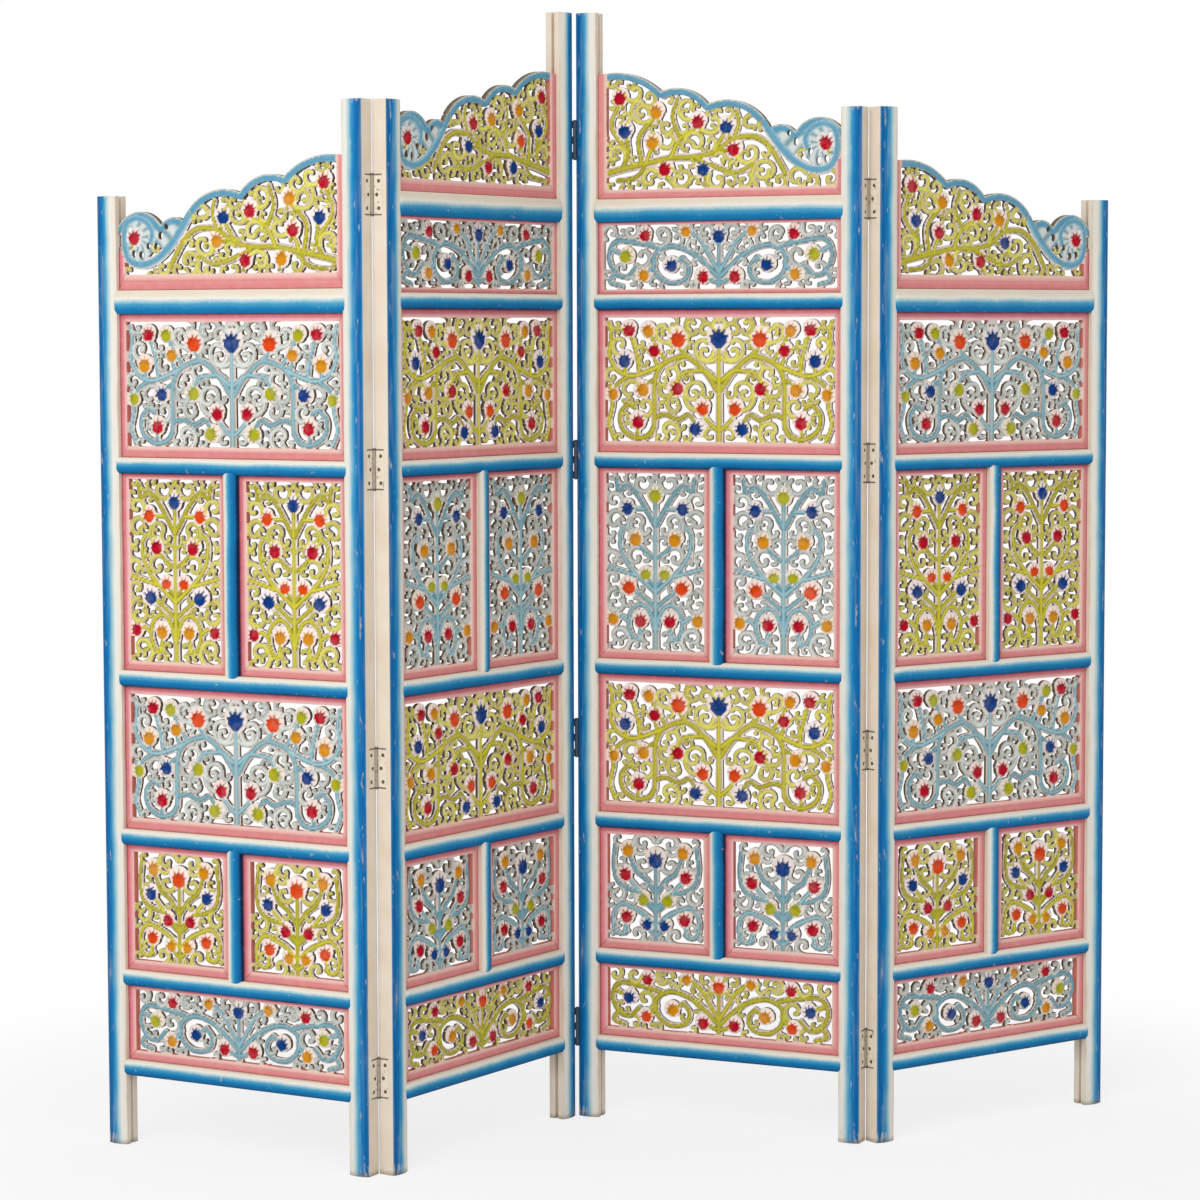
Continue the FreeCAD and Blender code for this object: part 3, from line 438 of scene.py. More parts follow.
    def border(self, left, right, low, high):
        """Flat raised frame, its inner edge eased; the distances are the edges of the field."""
        sides = np.minimum(self.gx - left, right - self.gx)
        void = np.minimum(sides, np.minimum(self.gz - low, high - self.gz))
        depth = 1.3 * np.clip(1 + void / 2, 0, 1) ** 2
        self.lay((slice(None), slice(None)), void, depth, 0, 0, 0, over=True)
        return void


def grow(carving, stems, stalks, flowers, place, scheme, radius):
    """Stems and stalks first, then the heads, each aimed half way between its stalk and straight up."""
    for points, start, end, incised in stems:
        carving.stem(smooth_line([place(spot) for spot in points]), start, end, incised=incised)
    for points in stalks:
        carving.stem(smooth_line([place(spot) for spot in points]), 2.7, 2.2, crown=1.4)
    ends = [(place(points[-1]), place(points[-2])) for points in stalks]
    ends += [(place(points[-1]), place(points[-2])) for points, *rest in stems]
    for across, up, letters, big in flowers:
        middle = place((across, up))
        near = min(ends, key=lambda pair: math.dist(pair[0], middle))
        lean = np.subtract(middle, near[1]) / math.dist(middle, near[1])
        aim = math.atan2(lean[1] + 1.1, lean[0]) if across else math.pi / 2
        if math.dist(near[0], middle) > 3:
            carving.stem(np.array([near[0], middle]), 2.5, 2.3, crown=1.4)
        carving.flower(middle, aim, radius * big, flower_letters[letters[scheme]])


# A stem is its points, its first and last radius in mm and its scoring; a stalk is its points alone.
# A flower is its place, its colours on lime and on teal vines, and its size. Places are shares of the
# half width from the middle and of the height inside the border.
wide_stems = (
    (((0, 0), (0, .55), (0, .80)), 4.4, 2.9, 1.0),
    (((.02, .42), (.11, .55), (.27, .68), (.42, .66), (.53, .58), (.565, .45), (.565, .25), (.57, .12)),
     3.9, 3.6, 0.8),
    (((.57, .12), (.62, .05), (.74, .03), (.85, .10), (.87, .22), (.80, .30), (.74, .27)), 3.5, 2.3, 0.5),
    (((.50, .62), (.62, .57), (.77, .53), (.90, .58), (.965, .70), (.95, .85), (.97, .96)), 3.3, 2.3, 0.5),
    (((.03, .50), (.12, .57), (.22, .57), (.32, .55), (.36, .48)), 3.2, 2.3, 0.5),
    (((.56, .20), (.47, .22), (.36, .18), (.27, .22), (.22, .17)), 3.0, 2.2, 0),
    (((.96, .45), (.94, .30), (.97, .15), (.93, .03)), 2.6, 2.2, 0),
)
wide_stalks = (
    ((.02, .10), (.10, .17), (.14, .24)), ((.565, .50), (.62, .47), (.66, .44)), ((.30, .69), (.34, .75)),
    ((.70, .55), (.72, .68), (.76, .82)), ((.47, .65), (.54, .76), (.60, .86)),
    ((.80, .53), (.90, .46), (.93, .40)), ((.53, .58), (.56, .66)), ((.83, .54), (.83, .60)),
    ((.72, .06), (.71, .11)),
)
wide_flowers = (
    (0, .825, "BB", 1.4), (.355, .82, "OO", 1.2), (.62, .89, "AL", .9), (.79, .896, "RR", .95),
    (.565, .73, "RA", .9), (.83, .65, "BA", 1), (.36, .426, "RL", 1), (.665, .417, "AB", 1),
    (.93, .38, "AL", .85), (.14, .266, "OR", .95), (.205, .104, "BL", 1), (.71, .156, "RR", 1),
)
tall_stems = (
    (((0, 0), (0, .35), (0, .80)), 3.9, 2.7, 1.0),
    (((0, .70), (.20, .80), (.35, .87), (.55, .93), (.75, .90), (.80, .97)), 3.2, 2.3, 0.4),
    (((0, .33), (.35, .42), (.55, .48), (.70, .56), (.72, .66), (.60, .70)), 3.3, 2.3, 0.5),
    (((.35, .42), (.55, .435), (.98, .47)), 2.8, 2.3, 0),
    (((0, .10), (.12, .22), (.30, .26), (.50, .22), (.55, .14), (.45, .07), (.30, .06)), 3.3, 2.3, 0.5),
)
tall_stalks = (
    ((.20, .80), (.30, .80), (.45, .80)), ((0, .24), (.25, .30), (.45, .34)),
    ((.55, .16), (.70, .19), (.80, .18)), ((0, .36), (.10, .39), (.16, .42)),
    ((0, .52), (.18, .55), (.34, .60)), ((.35, .06), (.31, .11)),
)
tall_flowers = (
    (0, .875, "BL", 1.1), (.56, .80, "OB", 1), (.40, .626, "RA", 1), (.19, .43, "OL", .85),
    (.54, .354, "BO", 1.1), (.86, .173, "RA", .95), (.30, .166, "AR", 1),
)
small_stems = (
    (((0, 0), (0, .40), (0, .68)), 3.7, 2.7, 1.0),
    (((0, .45), (.20, .58), (.42, .66), (.52, .78)), 3.0, 2.3, 0.4),
    (((0, .30), (.30, .45), (.55, .48), (.80, .55), (.88, .70), (.85, .90)), 3.1, 2.2, 0.4),
    (((0, .15), (.25, .25), (.45, .30), (.70, .34), (.88, .25), (.88, .10), (.75, .05), (.60, .08)),
     3.1, 2.2, 0.4),
)
small_stalks = (
    ((.35, .47), (.50, .55), (.60, .60)), ((0, .28), (.13, .33), (.22, .37)),
    ((0, .06), (.10, .09), (.15, .13)), ((.66, .06), (.62, .15)),
)
small_flowers = (
    (0, .77, "OB", 1.3), (.57, .85, "AA", 1), (.63, .62, "BR", 1), (.25, .39, "RL", .95),
    (.60, .216, "OR", 1), (.18, .155, "AB", .9),
)
strip_stems = (
    (((0, 0), (0, .35), (0, .70)), 3.5, 2.7, 0.8),
    (((0, .25), (.08, .50), (.16, .75), (.24, .86)), 2.9, 2.2, 0.3),
    (((.02, .20), (.14, .42), (.28, .60), (.44, .66), (.56, .52), (.55, .25), (.44, .10), (.30, .14),
      (.26, .32), (.32, .48)), 3.3, 2.2, 0.5),
    (((.50, .62), (.60, .68), (.72, .72), (.90, .74), (.96, .50), (.90, .25), (.80, .20), (.72, .35)),
     3.1, 2.2, 0.4),
    (((.90, .28), (.95, .12), (.85, .05)), 2.5, 2.1, 0),
)
strip_stalks = (
    ((.56, .40), (.60, .28), (.63, .24)), ((.60, .68), (.63, .78)), ((.02, .10), (.08, .14), (.12, .17)),
    ((.93, .62), (.86, .56)),
)
strip_flowers = (
    (0, .80, "OB", 1.1), (.64, .83, "RR", .95), (.285, .88, "AA", .85), (.81, .51, "BL", 1),
    (.41, .36, "AB", 1), (.65, .215, "OA", .95), (.135, .18, "RR", 1),
)


def flat_design(width, height, plan, border, radius, least, seed):
    """One half of a board that is alike on both sides, mirrored about its stem, for each scheme."""
    stems, stalks, flowers = plan
    side, low, high = border
    designs = []
    for scheme in (0, 1):
        half = Carving(width / 2, height, seed)

        def place(spot):
            """Shares of the half width and of the height inside the border, as mm."""
            return (spot[0] * (width / 2 - side), low + spot[1] * (height - low - high))

        grow(half, stems, stalks, flowers, place, scheme, radius)
        field = half.border(-reach, width / 2 - side, low, height - high)
        half.curls(least, field > 0)
        designs.append({
            "x": np.concatenate([width / 2 - half.x[:0:-1], width / 2 + half.x]),
            "z": half.z,
            "border": (side, side, low, high),
            **{name: np.concatenate([getattr(half, name)[:0:-1], getattr(half, name)])
               for name in ("void", "depth", "role", "tone", "fade")},
        })
    return designs


def joined(kept, seed):
    """Cells that hang together with the seed cells, spread one step at a time."""
    held = kept & seed
    while True:
        spread = held.copy()
        spread[1:] |= held[:-1]
        spread[:-1] |= held[1:]
        spread[:, 1:] |= held[:, :-1]
        spread[:, :-1] |= held[:, 1:]
        spread &= kept
        if (spread == held).all():
            return held
        held = spread


def board_surface(design, hand=1):
    """Closed board: carved front, shallower carved back and sawn walls. Cells with wood are kept where
    they hang together, cells that meet at a corner alone get a third between them, and the points along
    a cut slide down the slope of void until it is zero."""
    void, depth = design["void"], design["depth"]
    gx, gz = np.meshgrid(design["x"], design["z"], indexing="ij")
    kept = (void[1:, 1:] + void[:-1, 1:] + void[1:, :-1] + void[:-1, :-1]) < 0
    anchor = np.zeros(kept.shape, bool)
    anchor[:, 0] = True
    kept = joined(kept, anchor)
    south_west, south_east = kept[:-1, :-1], kept[1:, :-1]
    north_west, north_east = kept[:-1, 1:], kept[1:, 1:]
    for _ in range(4):
        south_east |= south_west & north_east & ~north_west
        south_west |= south_east & north_west & ~north_east
    around = np.pad(kept, 1)
    touch = np.stack([around[1:, 1:], around[:-1, 1:], around[1:, :-1], around[:-1, :-1]])
    used = touch.any(0)
    rim = used & ~touch.all(0)
    rim[[0, -1]] = False
    rim[:, [0, -1]] = False
    dx, dz = np.gradient(void, design["x"], design["z"])
    step = np.where(rim, -void / np.maximum(dx ** 2 + dz ** 2, 0.3), 0)
    gx = gx + np.clip(step * dx, -0.8 * cell, 0.8 * cell)
    gz = gz + np.clip(step * dz, -0.8 * cell, 0.8 * cell)
    index = np.full(used.shape, -1)
    count = used.sum()
    index[used] = np.arange(count)
    if hand < 0:
        gx = design["x"][-1] - gx
    front = np.column_stack([gx[used], panel_front + np.minimum(depth[used], 7), gz[used]])
    back = np.column_stack([gx[used], panel_back - np.clip(0.9 * depth[used] - 0.9, 0, 3.4), gz[used]])
    a, b, c, d = index[:-1, :-1], index[1:, :-1], index[1:, 1:], index[:-1, 1:]
    faces = np.stack([a, b, c, d], -1)[kept]
    walls = []
    for low, high, next_cell in (
        (a, b, around[1:-1, :-2]), (b, c, around[2:, 1:-1]),
        (c, d, around[1:-1, 2:]), (d, a, around[:-2, 1:-1]),
    ):
        cut = kept & ~next_cell
        walls.append(np.stack([high[cut], low[cut], low[cut] + count, high[cut] + count], -1))
    walls = np.vstack(walls)
    quads = np.vstack([faces, faces[:, ::-1] + count, walls])
    if hand < 0:
        quads = quads[:, ::-1]
    kinds = np.repeat((0, 1, 2), (len(faces), len(faces), len(walls)))
    return np.vstack([front, back]), quads, kinds, used


# For each role the body of the paint, its darker strokes and its edge. For the ground, vine and fill the edge
# colour is painted shade, on the ground beside a bar and on a bar's sides.
lime_paint = {
    GROUND: ("#FBEBE4", "#E2C6C0", "#AE9A7C"), VINE: ("#DCD33C", "#A09A20", "#7C751E"),
    FILL: ("#E6DF6C", "#BAB248", "#88802E"), BLUE: ("#03397F", "#041D55", "#5A80BC"),
    RED: ("#B60022", "#6E0214", "#DC7078"), ORANGE: ("#DC4406", "#982A06", "#F0A070"),
    AMBER: ("#D68C06", "#965808", "#EBC67A"), LEAF: ("#ADAA10", "#747610", "#D8D285"),
    BAND: ("#62A2BE", "#417FA2", "#B4CFD5"), RIM: ("#E2DACA", "#BDB8A8", "#D3CBB8"),
    LOBE: ("#D3DAD7", "#7399A6", "#EFECE6"),
}
teal_paint = {
    **lime_paint, VINE: ("#A4CAD2", "#6797A5", "#487A8A"), FILL: ("#DDE1DC", "#AAB4B2", "#74827F"),
    GROUND: ("#F0E2D7", "#CFC0B6", "#998A78"),
}
# Pink paint, pale towards the field. The dark first stop of each ramp is painted shade in the recess by the
# frame. The deeper crimson ramp, used on the left side and the head, is painted shade from the stile and
# rail.
crimson_places = (0, 0.08, 0.3, 0.6, 1)
pink_paint_and_shade = np.array([
    linear(code) for code in ("#6E3038", "#C25A66", "#DC7682", "#E4979C", "#EFC6BE")])
salmon_places = (0, 0.07, 0.35, 0.7, 1)
salmon_border = np.array([
    linear(code) for code in ("#8A4A48", "#D98A88", "#E1878A", "#E7A7A2", "#EBCBBE")])
seam_paint = linear("#9C4A4C")
# Cut walls: wood at the front face, going to near black painted shade at the back.
wall_wood_and_shade = (linear("#8E7B64"), linear("#2C2016"))
border_wall_tint = linear("#F0A8A0")
# Dark brown painted shade along the cut edges of the front.
cut_edge_shade = linear("#7D6A50")
back_paint = linear("#E2D3B8")


def board_shades(design, paint, used, quads, kinds):
    """Colours of the face corners: paint by role in front, darkened along the cut edges as painted shade,
    paler behind; in the cuts wood that turns to painted shade towards the back, but crimson along the
    border. The pink follows the share of the way in from the nearest side, with a scored line half way,
    a dark outer edge of painted shade, and deeper crimson painted shade on the left side and the head."""
    role, tone, fade, void = (design[name][used] for name in ("role", "tone", "fade", "void"))
    gx, gz = np.meshgrid(design["x"], design["z"], indexing="ij")
    x, z = gx[used], gz[used]
    table = np.zeros((LOBE + 1, 3, 3))
    for key, codes in paint.items():
        table[key] = [linear(code) for code in codes]
    body = table[role, 0] * (1 - tone[:, None]) + table[role, 1] * tone[:, None]
    front = body * (1 - fade[:, None]) + table[role, 2] * fade[:, None]
    # Painted shade: the front goes a fifth of the way to dark brown at the cut edges.
    chip_wear_and_edge_shade = 0.2 * np.clip(1 + void / 1.2, 0, 1)[:, None]
    front = front * (1 - chip_wear_and_edge_shade) + cut_edge_shade * chip_wear_and_edge_shade
    left, right, low, high = design["border"]
    ways = np.stack([x / left, (design["x"][-1] - x) / right, z / low, (design["z"][-1] - z) / high])
    nearest = ways.argmin(0)
    share, other = np.sort(ways, 0)[:2]
    crimson = np.stack([np.interp(share, crimson_places, column) for column in pink_paint_and_shade.T], -1)
    salmon = np.stack([np.interp(share, salmon_places, column) for column in salmon_border.T], -1)
    # Painted shade: the deeper crimson ramp on the left side and the head.
    pink = np.where(((nearest == 0) | (nearest == 3))[:, None], crimson, salmon)
    scored = 0.25 * (np.abs(share - 0.55) < 0.07) + 0.45 * (other - share < 0.1)
    scored = np.clip(scored, 0, 0.6)[:, None]
    pink = pink * (1 - scored) + seam_paint * scored
    front = np.where(role[:, None] == 0, pink, front)
    both = np.vstack([front, front * 0.6 + back_paint * 0.4])
    shades = both[quads.ravel()]
    behind = (quads.ravel() >= len(front)).astype(float)[:, None]
    # The walls run from wood at the front to painted shade at the back.
    wood = wall_wood_and_shade[0] * (1 - behind) + wall_wood_and_shade[1] * behind
    by_border = np.tile(role == 0, 2)[quads.ravel()][:, None]
    wood = np.where(by_border, shades * border_wall_tint, wood)
    return np.where(np.repeat(kinds == 2, 4)[:, None], wood, shades)


openwork_paint = []
for name in ("lime_painted_openwork", "teal_painted_openwork"):
    # Brush paint on carved wood: dull, with 14 mm brush marks and 5 mm chips down to the wood.
    material, tree = start_material(name)
    where = add_node(tree, "ShaderNodeTexCoord", {})["Object"]
    paint = add_node(tree, "ShaderNodeAttribute", {}, attribute_name="paint")["Color"]
    brush = add_node(tree, "ShaderNodeTexNoise", {"Vector": where, "Scale": 1000 / 14, "Detail": 3})[0]
    brush = add_node(tree, "ShaderNodeMapRange", {0: brush, 1: 0.45, 2: 0.75, 3: 0, 4: 0.09})[0]
    paint = add_node(tree, "ShaderNodeMix", {0: brush, 6: paint, 7: "#EFE6D2"}, data_type="RGBA")[2]
    chip = add_node(tree, "ShaderNodeTexNoise", {"Vector": where, "Scale": 1000 / 5, "Detail": 4})[0]
    chip_wear_and_edge_shade = add_node(tree, "ShaderNodeMapRange", {0: chip, 1: 0.68, 2: 0.74, 3: 0, 4: 0.45})[0]
    paint = add_node(tree, "ShaderNodeMix", {0: chip_wear_and_edge_shade, 6: paint, 7: "#8A6A48"}, data_type="RGBA")[2]
    bump = add_node(tree, "ShaderNodeBump", {"Height": chip, "Strength": 0.25, "Distance": 0.0008})[0]
    shader = add_node(tree, "ShaderNodeBsdfPrincipled", {
        "Base Color": paint, "Roughness": 0.65, "Specular IOR Level": 0.1, "Normal": bump})
    add_node(tree, "ShaderNodeOutputMaterial", {"Surface": shader[0]})
    openwork_paint.append(material)
schemes = (lime_paint, teal_paint)
half_width = (field_width - rail_height) / 2
base_row = base_z - foot_z - rail_height
wide_row = middle_z - lower_z - rail_height
top_strip_row = crest_rail_z[1] - half_crest_rail - shoulder_z - half_rail
# A design has its size, plan, border (sides, sill, head), radius of a head, widest gap left and seed.
wide_plan = (wide_stems, wide_stalks, wide_flowers)
tall_plan = (tall_stems, tall_stalks, tall_flowers)
small_plan = (small_stems, small_stalks, small_flowers)
strip_plan = (strip_stems, strip_stalks, strip_flowers)
wide_design = flat_design(field_width, wide_row, wide_plan, (12, 18, 13), 10.2, 5.0, 11)
tall_design = flat_design(half_width, tall_row, tall_plan, (13, 15, 9), 9.8, 5.0, 12)
small_design = flat_design(half_width, small_row, small_plan, (14, 16, 12), 9.6, 4.8, 13)
base_design = flat_design(field_width, base_row, strip_plan, (14, 15, 7), 9.2, 4.8, 14)
strip_design = flat_design(field_width, top_strip_row, strip_plan, (10, 8, 5), 9.4, 5.0, 14)


def set_boards(node_name, leaf, design, scheme, spots, height, hand=1):
    """The boards of a node as one piece, stretched to the height of their row and set in place."""
    points, quads, kinds, used = board_surface(design, hand)
    shades = board_shades(design, schemes[scheme], used, quads, kinds)
    points = points * (1, 1, height / design["z"][-1])
    all_points = np.vstack([points + (x, 0, z) for x, z in spots])
    all_quads = np.vstack([quads + len(points) * number for number in range(len(spots))])
    title = node_name.replace("_panel", "_carving")
    piece = add_piece(title, leaf, all_points, all_quads, "paint", np.tile(shades, (len(spots), 1)), 50)
    piece.data.materials.append(openwork_paint[scheme])
    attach(piece, f"leaf_{leaf + 1}")
    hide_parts(node_name)


pair_starts = (stile_width, stile_width + half_width + rail_height)
for leaf in range(4):
    inner = leaf in inner_leaves
    lime, teal = (1, 0) if inner else (0, 1)
    upper_row = shoulder_z - (half_rail if inner else half_crest_rail) - upper_z - half_rail
    rows = [
        ("base_strip_panel", base_design, teal, foot_z, base_row),
        ("small_panels", small_design, lime, base_z, small_row),
        ("lower_wide_panel", wide_design, teal, lower_z, wide_row),
        ("tall_panels", tall_design, lime, middle_z, tall_row),
        ("upper_wide_panel", wide_design, teal, upper_z, upper_row),
    ]
    if inner:
        rows.append(("top_strip_panel", strip_design, lime, shoulder_z, top_strip_row))
    for row, design, scheme, rail_z, height in rows:
        starts = pair_starts if row.endswith("panels") else (stile_width,)
        spots = [(x, rail_z + half_rail) for x in starts]
        set_boards(f"leaf_{leaf + 1}_{row}", leaf, design[scheme], scheme, spots, height)

# Crests: panels with a scalloped top that climbs from a scrolled lobe to the taller stile.
# A pale rim and a blue band follow the scallops, and the band rolls round the lobe.
# Each stands on the crest rail, in the grooves of the rail and of both stiles.
crest_height = 205.0
crest_side, crest_tall_side = 11.0, 15.0
crest_lows = (25.0, 21.0, 15.0, 23.0)
rim_width, band_width = 2.0, 11.0
lobe_eye, lobe_radius = (37.0, 79.0), 32.0
bud_middle, bud_radius = (92.0, 92.0), 27.0
lobe_holes = ((28, 58, 4.2), (42, 56, 4.2), (56, 70, 3.8), (80, 86, 4.4), (92, 100, 3.4))
crest_head = 10.2
crest_gap = 4.8
crest_outline = np.array((
    (0, .50), (.08, .605), (.19, .50), (.245, .56), (.29, .535), (.41, .745), (.544, .735), (.645, .862),
    (.736, .845), (.86, .985), (1, .985),
)) * (field_width, crest_height)
# Stems, flowers and the scroll are shares of the width from the low side and mm up from the rail, and
# a flower has a colour for each leaf.
crest_stems = (
    (((.97, 42), (.90, 49), (.80, 57), (.70, 65), (.60, 66), (.52, 73), (.44, 93), (.36, 96), (.30, 82),
      (.26, 58), (.23, 36)), 4.4),
    (((.90, 49), (.875, 75), (.885, 98)), 3.2), (((.875, 75), (.945, 118), (.915, 152)), 3.0),
    (((.80, 57), (.79, 70), (.776, 82)), 3.0), (((.82, 56), (.83, 100), (.765, 130)), 3.2),
    (((.70, 65), (.66, 95), (.595, 112)), 3.2), (((.66, 95), (.69, 130), (.67, 160)), 2.8),
    (((.52, 73), (.50, 88), (.475, 104)), 3.0), (((.44, 93), (.42, 120), (.43, 138)), 2.8),
    (((.60, 66), (.58, 57), (.567, 50)), 2.8), (((.74, 62), (.73, 54)), 2.6), (((.50, 78), (.46, 74)), 2.6),
    (((.60, 66), (.52, 50), (.43, 40), (.36, 52)), 3.0), (((.80, 57), (.84, 36), (.92, 30)), 2.8),
)
crest_scroll = (
    (.315, 118), (.276, 93), (.234, 72), (.19, 55), (.142, 44), (.092, 41), (.046, 48), (.026, 66),
    (.024, 88), (.036, 106), (.075, 114), (.122, 108), (.15, 92), (.142, 76),
)
crest_flowers = (
    (.068, 82, "RRRR"), (.47, 112, "BRBA"), (.586, 121, "RARR"), (.76, 139, "AAAA"), (.91, 163, "RRRR"),
    (.89, 109, "BBBB"), (.774, 90, "ROAR"), (.44, 76, "ABRB"), (.565, 45, "RRBR"), (.724, 46, "ABRA"),
)


def arc_points(start, crown, end, count=14):
    """Points of the circle through three points, from start to just before end."""
    matrix = 2 * np.array([crown - start, end - start])
    middle = np.linalg.solve(matrix, [crown @ crown - start @ start, end @ end - start @ start])
    angles = np.unwrap([math.atan2(*(point - middle)[::-1]) for point in (start, crown, end)])
    sweep = np.linspace(angles[0], angles[2], count, endpoint=False)
    return middle + np.hypot(*(start - middle)) * np.column_stack([np.cos(sweep), np.sin(sweep)])


def line_gap(gx, gz, line):
    """Distance of each grid spot from a line of straight runs."""
    gap = np.full(gx.shape, 1e9)
    for (ax, az), (bx, bz) in zip(line, line[1:]):
        along = ((gx - ax) * (bx - ax) + (gz - az) * (bz - az)) / ((bx - ax) ** 2 + (bz - az) ** 2)
        along = np.clip(along, 0, 1)
        gap = np.minimum(gap, np.hypot(gx - ax - along * (bx - ax), gz - az - along * (bz - az)))
    return gap


def crest_design(leaf, seed):
    """The vine first, then a lobe of petals that whirl round its eye, the band along the scallops, the
    scroll and the border. What stands outside the scallops is cut away, and the lobe is pierced."""
    crest = Carving(field_width, crest_height + cell, seed)
    everywhere = (slice(None), slice(None))
    arcs = [arc_points(*crest_outline[place:place + 3]) for place in range(0, 10, 2)]
    line = np.vstack(arcs + [crest_outline[-1:]])
    gap = line_gap(crest.gx, crest.gz, line)
    below = crest.gz < np.interp(crest.gx, line[:, 0], line[:, 1])
    outside = np.where(below, -gap, gap)
    for points, radius in crest_stems:
        spots = smooth_line(np.array(points) * (field_width, 1))
        crest.stem(spots, radius, radius * 0.72, incised=0.5)
    scroll = smooth_line(np.array(crest_scroll) * (field_width, 1))
    from_eye = np.hypot(crest.gx - lobe_eye[0], crest.gz - lobe_eye[1])
    from_bud = np.hypot(crest.gx - bud_middle[0], crest.gz - bud_middle[1])
    lobe = np.minimum(from_eye - lobe_radius, from_bud - bud_radius)
    around = np.arctan2(crest.gz - lobe_eye[1], crest.gx - lobe_eye[0])
    petals = (0.5 + 0.5 * np.cos(9 * around + from_eye / 5)) ** 2
    crest.lay(everywhere, lobe, 2.4 + 1.6 * petals, LOBE, petals, 0, over=True)
    bulge = np.abs(gap - (band_width + rim_width) / 2) / ((band_width - rim_width) / 2)
    band = np.where(gap < rim_width, RIM, BAND)
    depth = np.where(gap < rim_width, 1.5, 0.4 + 1.2 * bulge ** 2)
    crest.lay(everywhere, gap - band_width, depth, band, 0.3, np.clip(bulge - 0.7, 0, 1), over=True)
    crest.stem(scroll, 6.2, 4.2, crown=0.4, role=BAND, incised=0.6, over=True)
    for across, up, letters in crest_flowers:
        middle = np.array((across * field_width, up))
        crest.stem(np.array([middle - (5, 15), middle - (3, 8), middle]), 2.4, 2.3, crown=1.5)
        crest.flower(middle, math.pi * 0.55, crest_head, flower_letters[letters[leaf]])
    tall_edge = field_width - crest_tall_side
    field = crest.border(-reach, tall_edge, crest_lows[leaf], crest_height + reach)
    low_edge = np.where(crest.gz < crest_outline[0, 1] - 8, crest.gx - crest_side, reach)
    hidden = np.where(from_eye < lobe_radius + 6, reach, low_edge)
    crest.lay(everywhere, hidden, np.full(gap.shape, 0.2), 0, 0, 0, over=True)
    crest.curls(crest_gap, (outside < -band_width) & (field > 0))
    for across, up, radius in lobe_holes:
        hole = np.hypot(crest.gx - across, (crest.gz - up) * 0.7)
        crest.void = np.maximum(crest.void, radius - hole)
    crest.void = np.maximum(crest.void, outside)
    fields = {name: getattr(crest, name) for name in ("x", "z", "void", "depth", "role", "tone", "fade")}
    return {"border": (crest_side, crest_tall_side, crest_lows[leaf], 1e-3), **fields}


for leaf in range(4):
    sill = crest_rail_z[leaf] + half_crest_rail
    hand = 1 if leaf < 2 else -1
    node_name = f"leaf_{leaf + 1}_crest_panel"
    crest_board = crest_design(leaf, 15)
    set_boards(node_name, leaf, crest_board, 0, [(stile_width, sill)], crest_height + cell, hand)

# Butt hinges: pressed steel plates let into the stile edges, with pins and countersunk screws.
# They were brushed over with the frame's limewash or blue, worn back to grey metal in 6 mm patches.
# Painted shade darkens the ends of the plates and the knuckles, and the screw heads are painted dark as
# shade.
# A coat is its name, its paint, the rubbed metal and the height of the joint's top hinge.
hinge_coats = (
    ("limewashed_steel_left", "#EADFCC", "#A79A86", 1520.0),
    ("blue_painted_steel", "#2A5674", "#8D9298", 1624.0),
    ("limewashed_steel_right", "#EADFCC", "#A79A86", 1520.0),
)
hinge_height = 63.0
low_hinges = (152.0, 638.0, 1100.0)
shade_line_width = 2.2
knuckle_reach = 4.0
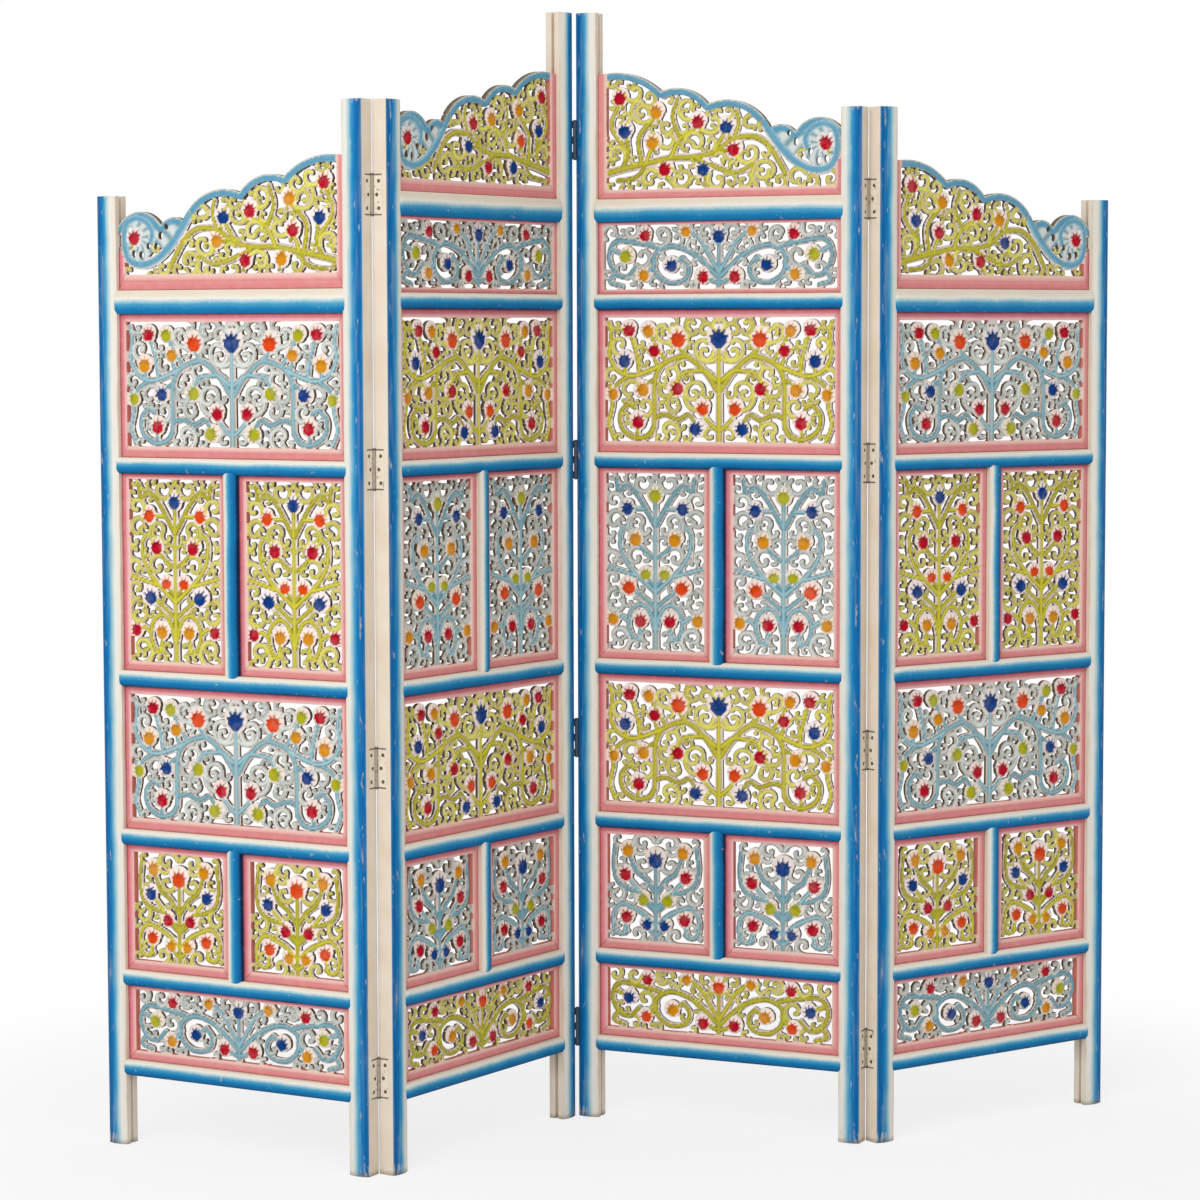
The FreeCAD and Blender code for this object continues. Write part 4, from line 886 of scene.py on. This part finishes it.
# Steel heads painted dark brown as the shade in their countersinks, with a dull shine.
screw_painted_shade, tree = start_material("steel_screws_painted_dark_as_shade")
shader = add_node(tree, "ShaderNodeBsdfPrincipled", {
    "Base Color": "#6A5A48", "Metallic": 0.3, "Roughness": 0.5})
add_node(tree, "ShaderNodeOutputMaterial", {"Surface": shader[0]})
for joint, (name, coat, bare, top_hinge) in enumerate(hinge_coats):
    # Thin paint on pressed steel is dull where it holds, greyer and shinier where it is rubbed off.
    material, tree = start_material(name)
    where = add_node(tree, "ShaderNodeTexCoord", {})["Object"]
    rub = add_node(tree, "ShaderNodeTexNoise", {"Vector": where, "Scale": 1000 / 6, "Detail": 4})[0]
    rub = add_node(tree, "ShaderNodeMapRange", {0: rub, 1: 0.58, 2: 0.76, 3: 0, 4: 1})[0]
    body = add_node(tree, "ShaderNodeMix", {0: rub, 6: coat, 7: bare}, data_type="RGBA")[2]
    x, y, z = add_node(tree, "ShaderNodeSeparateXYZ", {0: where})
    plan = add_node(tree, "ShaderNodeCombineXYZ", {0: x, 1: y})[0]
    away = add_node(tree, "ShaderNodeVectorMath", {
        0: plan, 1: (*pins[joint] / 1000, 0)}, operation="DISTANCE")["Value"]
    # Painted shade: dark within 4 mm of the pin axis by the joint gap, and in lines at both ends of each
    # plate.
    darkening = add_node(tree, "ShaderNodeMath", {0: away, 1: knuckle_reach / 1000}, operation="LESS_THAN")[0]
    darkening = add_node(tree, "ShaderNodeMath", {0: darkening, 1: 0.65}, operation="MULTIPLY")[0]
    for centre in (*low_hinges, top_hinge):
        for end in (centre - hinge_height / 2, centre + hinge_height / 2):
            line = add_node(tree, "ShaderNodeMath", {
                0: z, 1: end / 1000, 2: shade_line_width / 1000}, operation="COMPARE")[0]
            darkening = add_node(tree, "ShaderNodeMath", {0: darkening, 1: line}, operation="MAXIMUM")[0]
    darkening = add_node(tree, "ShaderNodeMath", {0: darkening, 1: 0.85}, operation="MULTIPLY")[0]
    body = add_node(tree, "ShaderNodeMix", {0: darkening, 6: body, 7: "#3A2C20"}, data_type="RGBA")[2]
    metal = add_node(tree, "ShaderNodeMath", {0: rub, 1: 0.5}, operation="MULTIPLY")[0]
    rough = add_node(tree, "ShaderNodeMapRange", {0: rub, 1: 0, 2: 1, 3: 0.6, 4: 0.38})[0]
    shader = add_node(tree, "ShaderNodeBsdfPrincipled", {
        "Base Color": body, "Metallic": metal, "Roughness": rough})
    add_node(tree, "ShaderNodeOutputMaterial", {"Surface": shader[0]})
    for part in ("left_plates", "right_plates", "pins"):
        repaint(f"hinge_{joint + 1}_{part}", material)
    for part in ("left_screws", "right_screws"):
        repaint(f"hinge_{joint + 1}_{part}", screw_painted_shade)

# Studio: a pale floor that fades into a white surround, so that only the shadow by the feet shows.
# A broad soft lamp stands in front, and the camera is where the photograph was taken from.
world = bpy.data.worlds.new("white_surround")
bpy.context.scene.world = world
world.use_nodes = True
tree = world.node_tree
tree.nodes.clear()
rays = add_node(tree, "ShaderNodeLightPath", {})
seen = add_node(tree, "ShaderNodeMath", {
    0: rays["Is Camera Ray"], 1: rays["Is Glossy Ray"]}, operation="MAXIMUM")[0]
seen = add_node(tree, "ShaderNodeMath", {0: seen, 1: rays["Is Transmission Ray"]}, operation="MAXIMUM")[0]
strength = add_node(tree, "ShaderNodeMapRange", {0: seen, 1: 0, 2: 1, 3: 0.7, 4: 1})[0]
surround = add_node(tree, "ShaderNodeBackground", {"Color": "#FFFFFF", "Strength": strength})
add_node(tree, "ShaderNodeOutputWorld", {"Surface": surround[0]})

floor_mesh = bpy.data.meshes.new("floor")
floor_mesh.from_pydata([(-6, -6, 0), (6, -6, 0), (6, 6, 0), (-6, 6, 0)], [], [(0, 1, 2, 3)])
floor = bpy.data.objects.new("floor", floor_mesh)
bpy.context.scene.collection.objects.link(floor)
floor_paint, tree = start_material("pale_floor")
rays = add_node(tree, "ShaderNodeLightPath", {})
seen = add_node(tree, "ShaderNodeMath", {
    0: rays["Is Camera Ray"], 1: rays["Is Glossy Ray"]}, operation="MAXIMUM")[0]
where = add_node(tree, "ShaderNodeTexCoord", {})["Object"]
away = add_node(tree, "ShaderNodeVectorMath", {0: where}, operation="LENGTH")["Value"]
white = add_node(tree, "ShaderNodeMapRange", {
    0: away, 1: 0.9, 2: 1.7, 3: 0.72, 4: 1}, interpolation_type="SMOOTHSTEP")[0]
white = add_node(tree, "ShaderNodeMath", {0: white, 1: seen}, operation="MULTIPLY")[0]
shader = add_node(tree, "ShaderNodeBsdfPrincipled", {"Base Color": "#F4F4F4", "Roughness": 0.9})
glow = add_node(tree, "ShaderNodeEmission", {"Color": "#FFFFFF", "Strength": 1.0})
blend = add_node(tree, "ShaderNodeMixShader", {0: white, 1: shader[0], 2: glow[0]})
add_node(tree, "ShaderNodeOutputMaterial", {"Surface": blend[0]})
floor_mesh.materials.append(floor_paint)

lamp = bpy.data.lights.new("soft_key", "AREA")
lamp.shape = "RECTANGLE"
lamp.size, lamp.size_y = 3.0, 2.5
lamp.energy = 74
key = bpy.data.objects.new("soft_key", lamp)
key.location = (-1.6, -3.6, 2.9)
key.rotation_euler = (math.radians(62), 0, math.radians(-24))
bpy.context.scene.collection.objects.link(key)

focal_pixels = 3448.5
image_width = 1200
camera_data = bpy.data.cameras.new("camera")
camera_data.sensor_width = 36.0
camera_data.lens = camera_data.sensor_width * focal_pixels / image_width
camera = bpy.data.objects.new("camera", camera_data)
camera.location = (-0.1235, -5.5394, 1.3091)
camera.rotation_euler = np.radians((90 - 4.4343, 0.1452, -1.0023))
bpy.context.scene.collection.objects.link(camera)
bpy.context.scene.camera = camera
bpy.context.scene.view_settings.view_transform = "Standard"
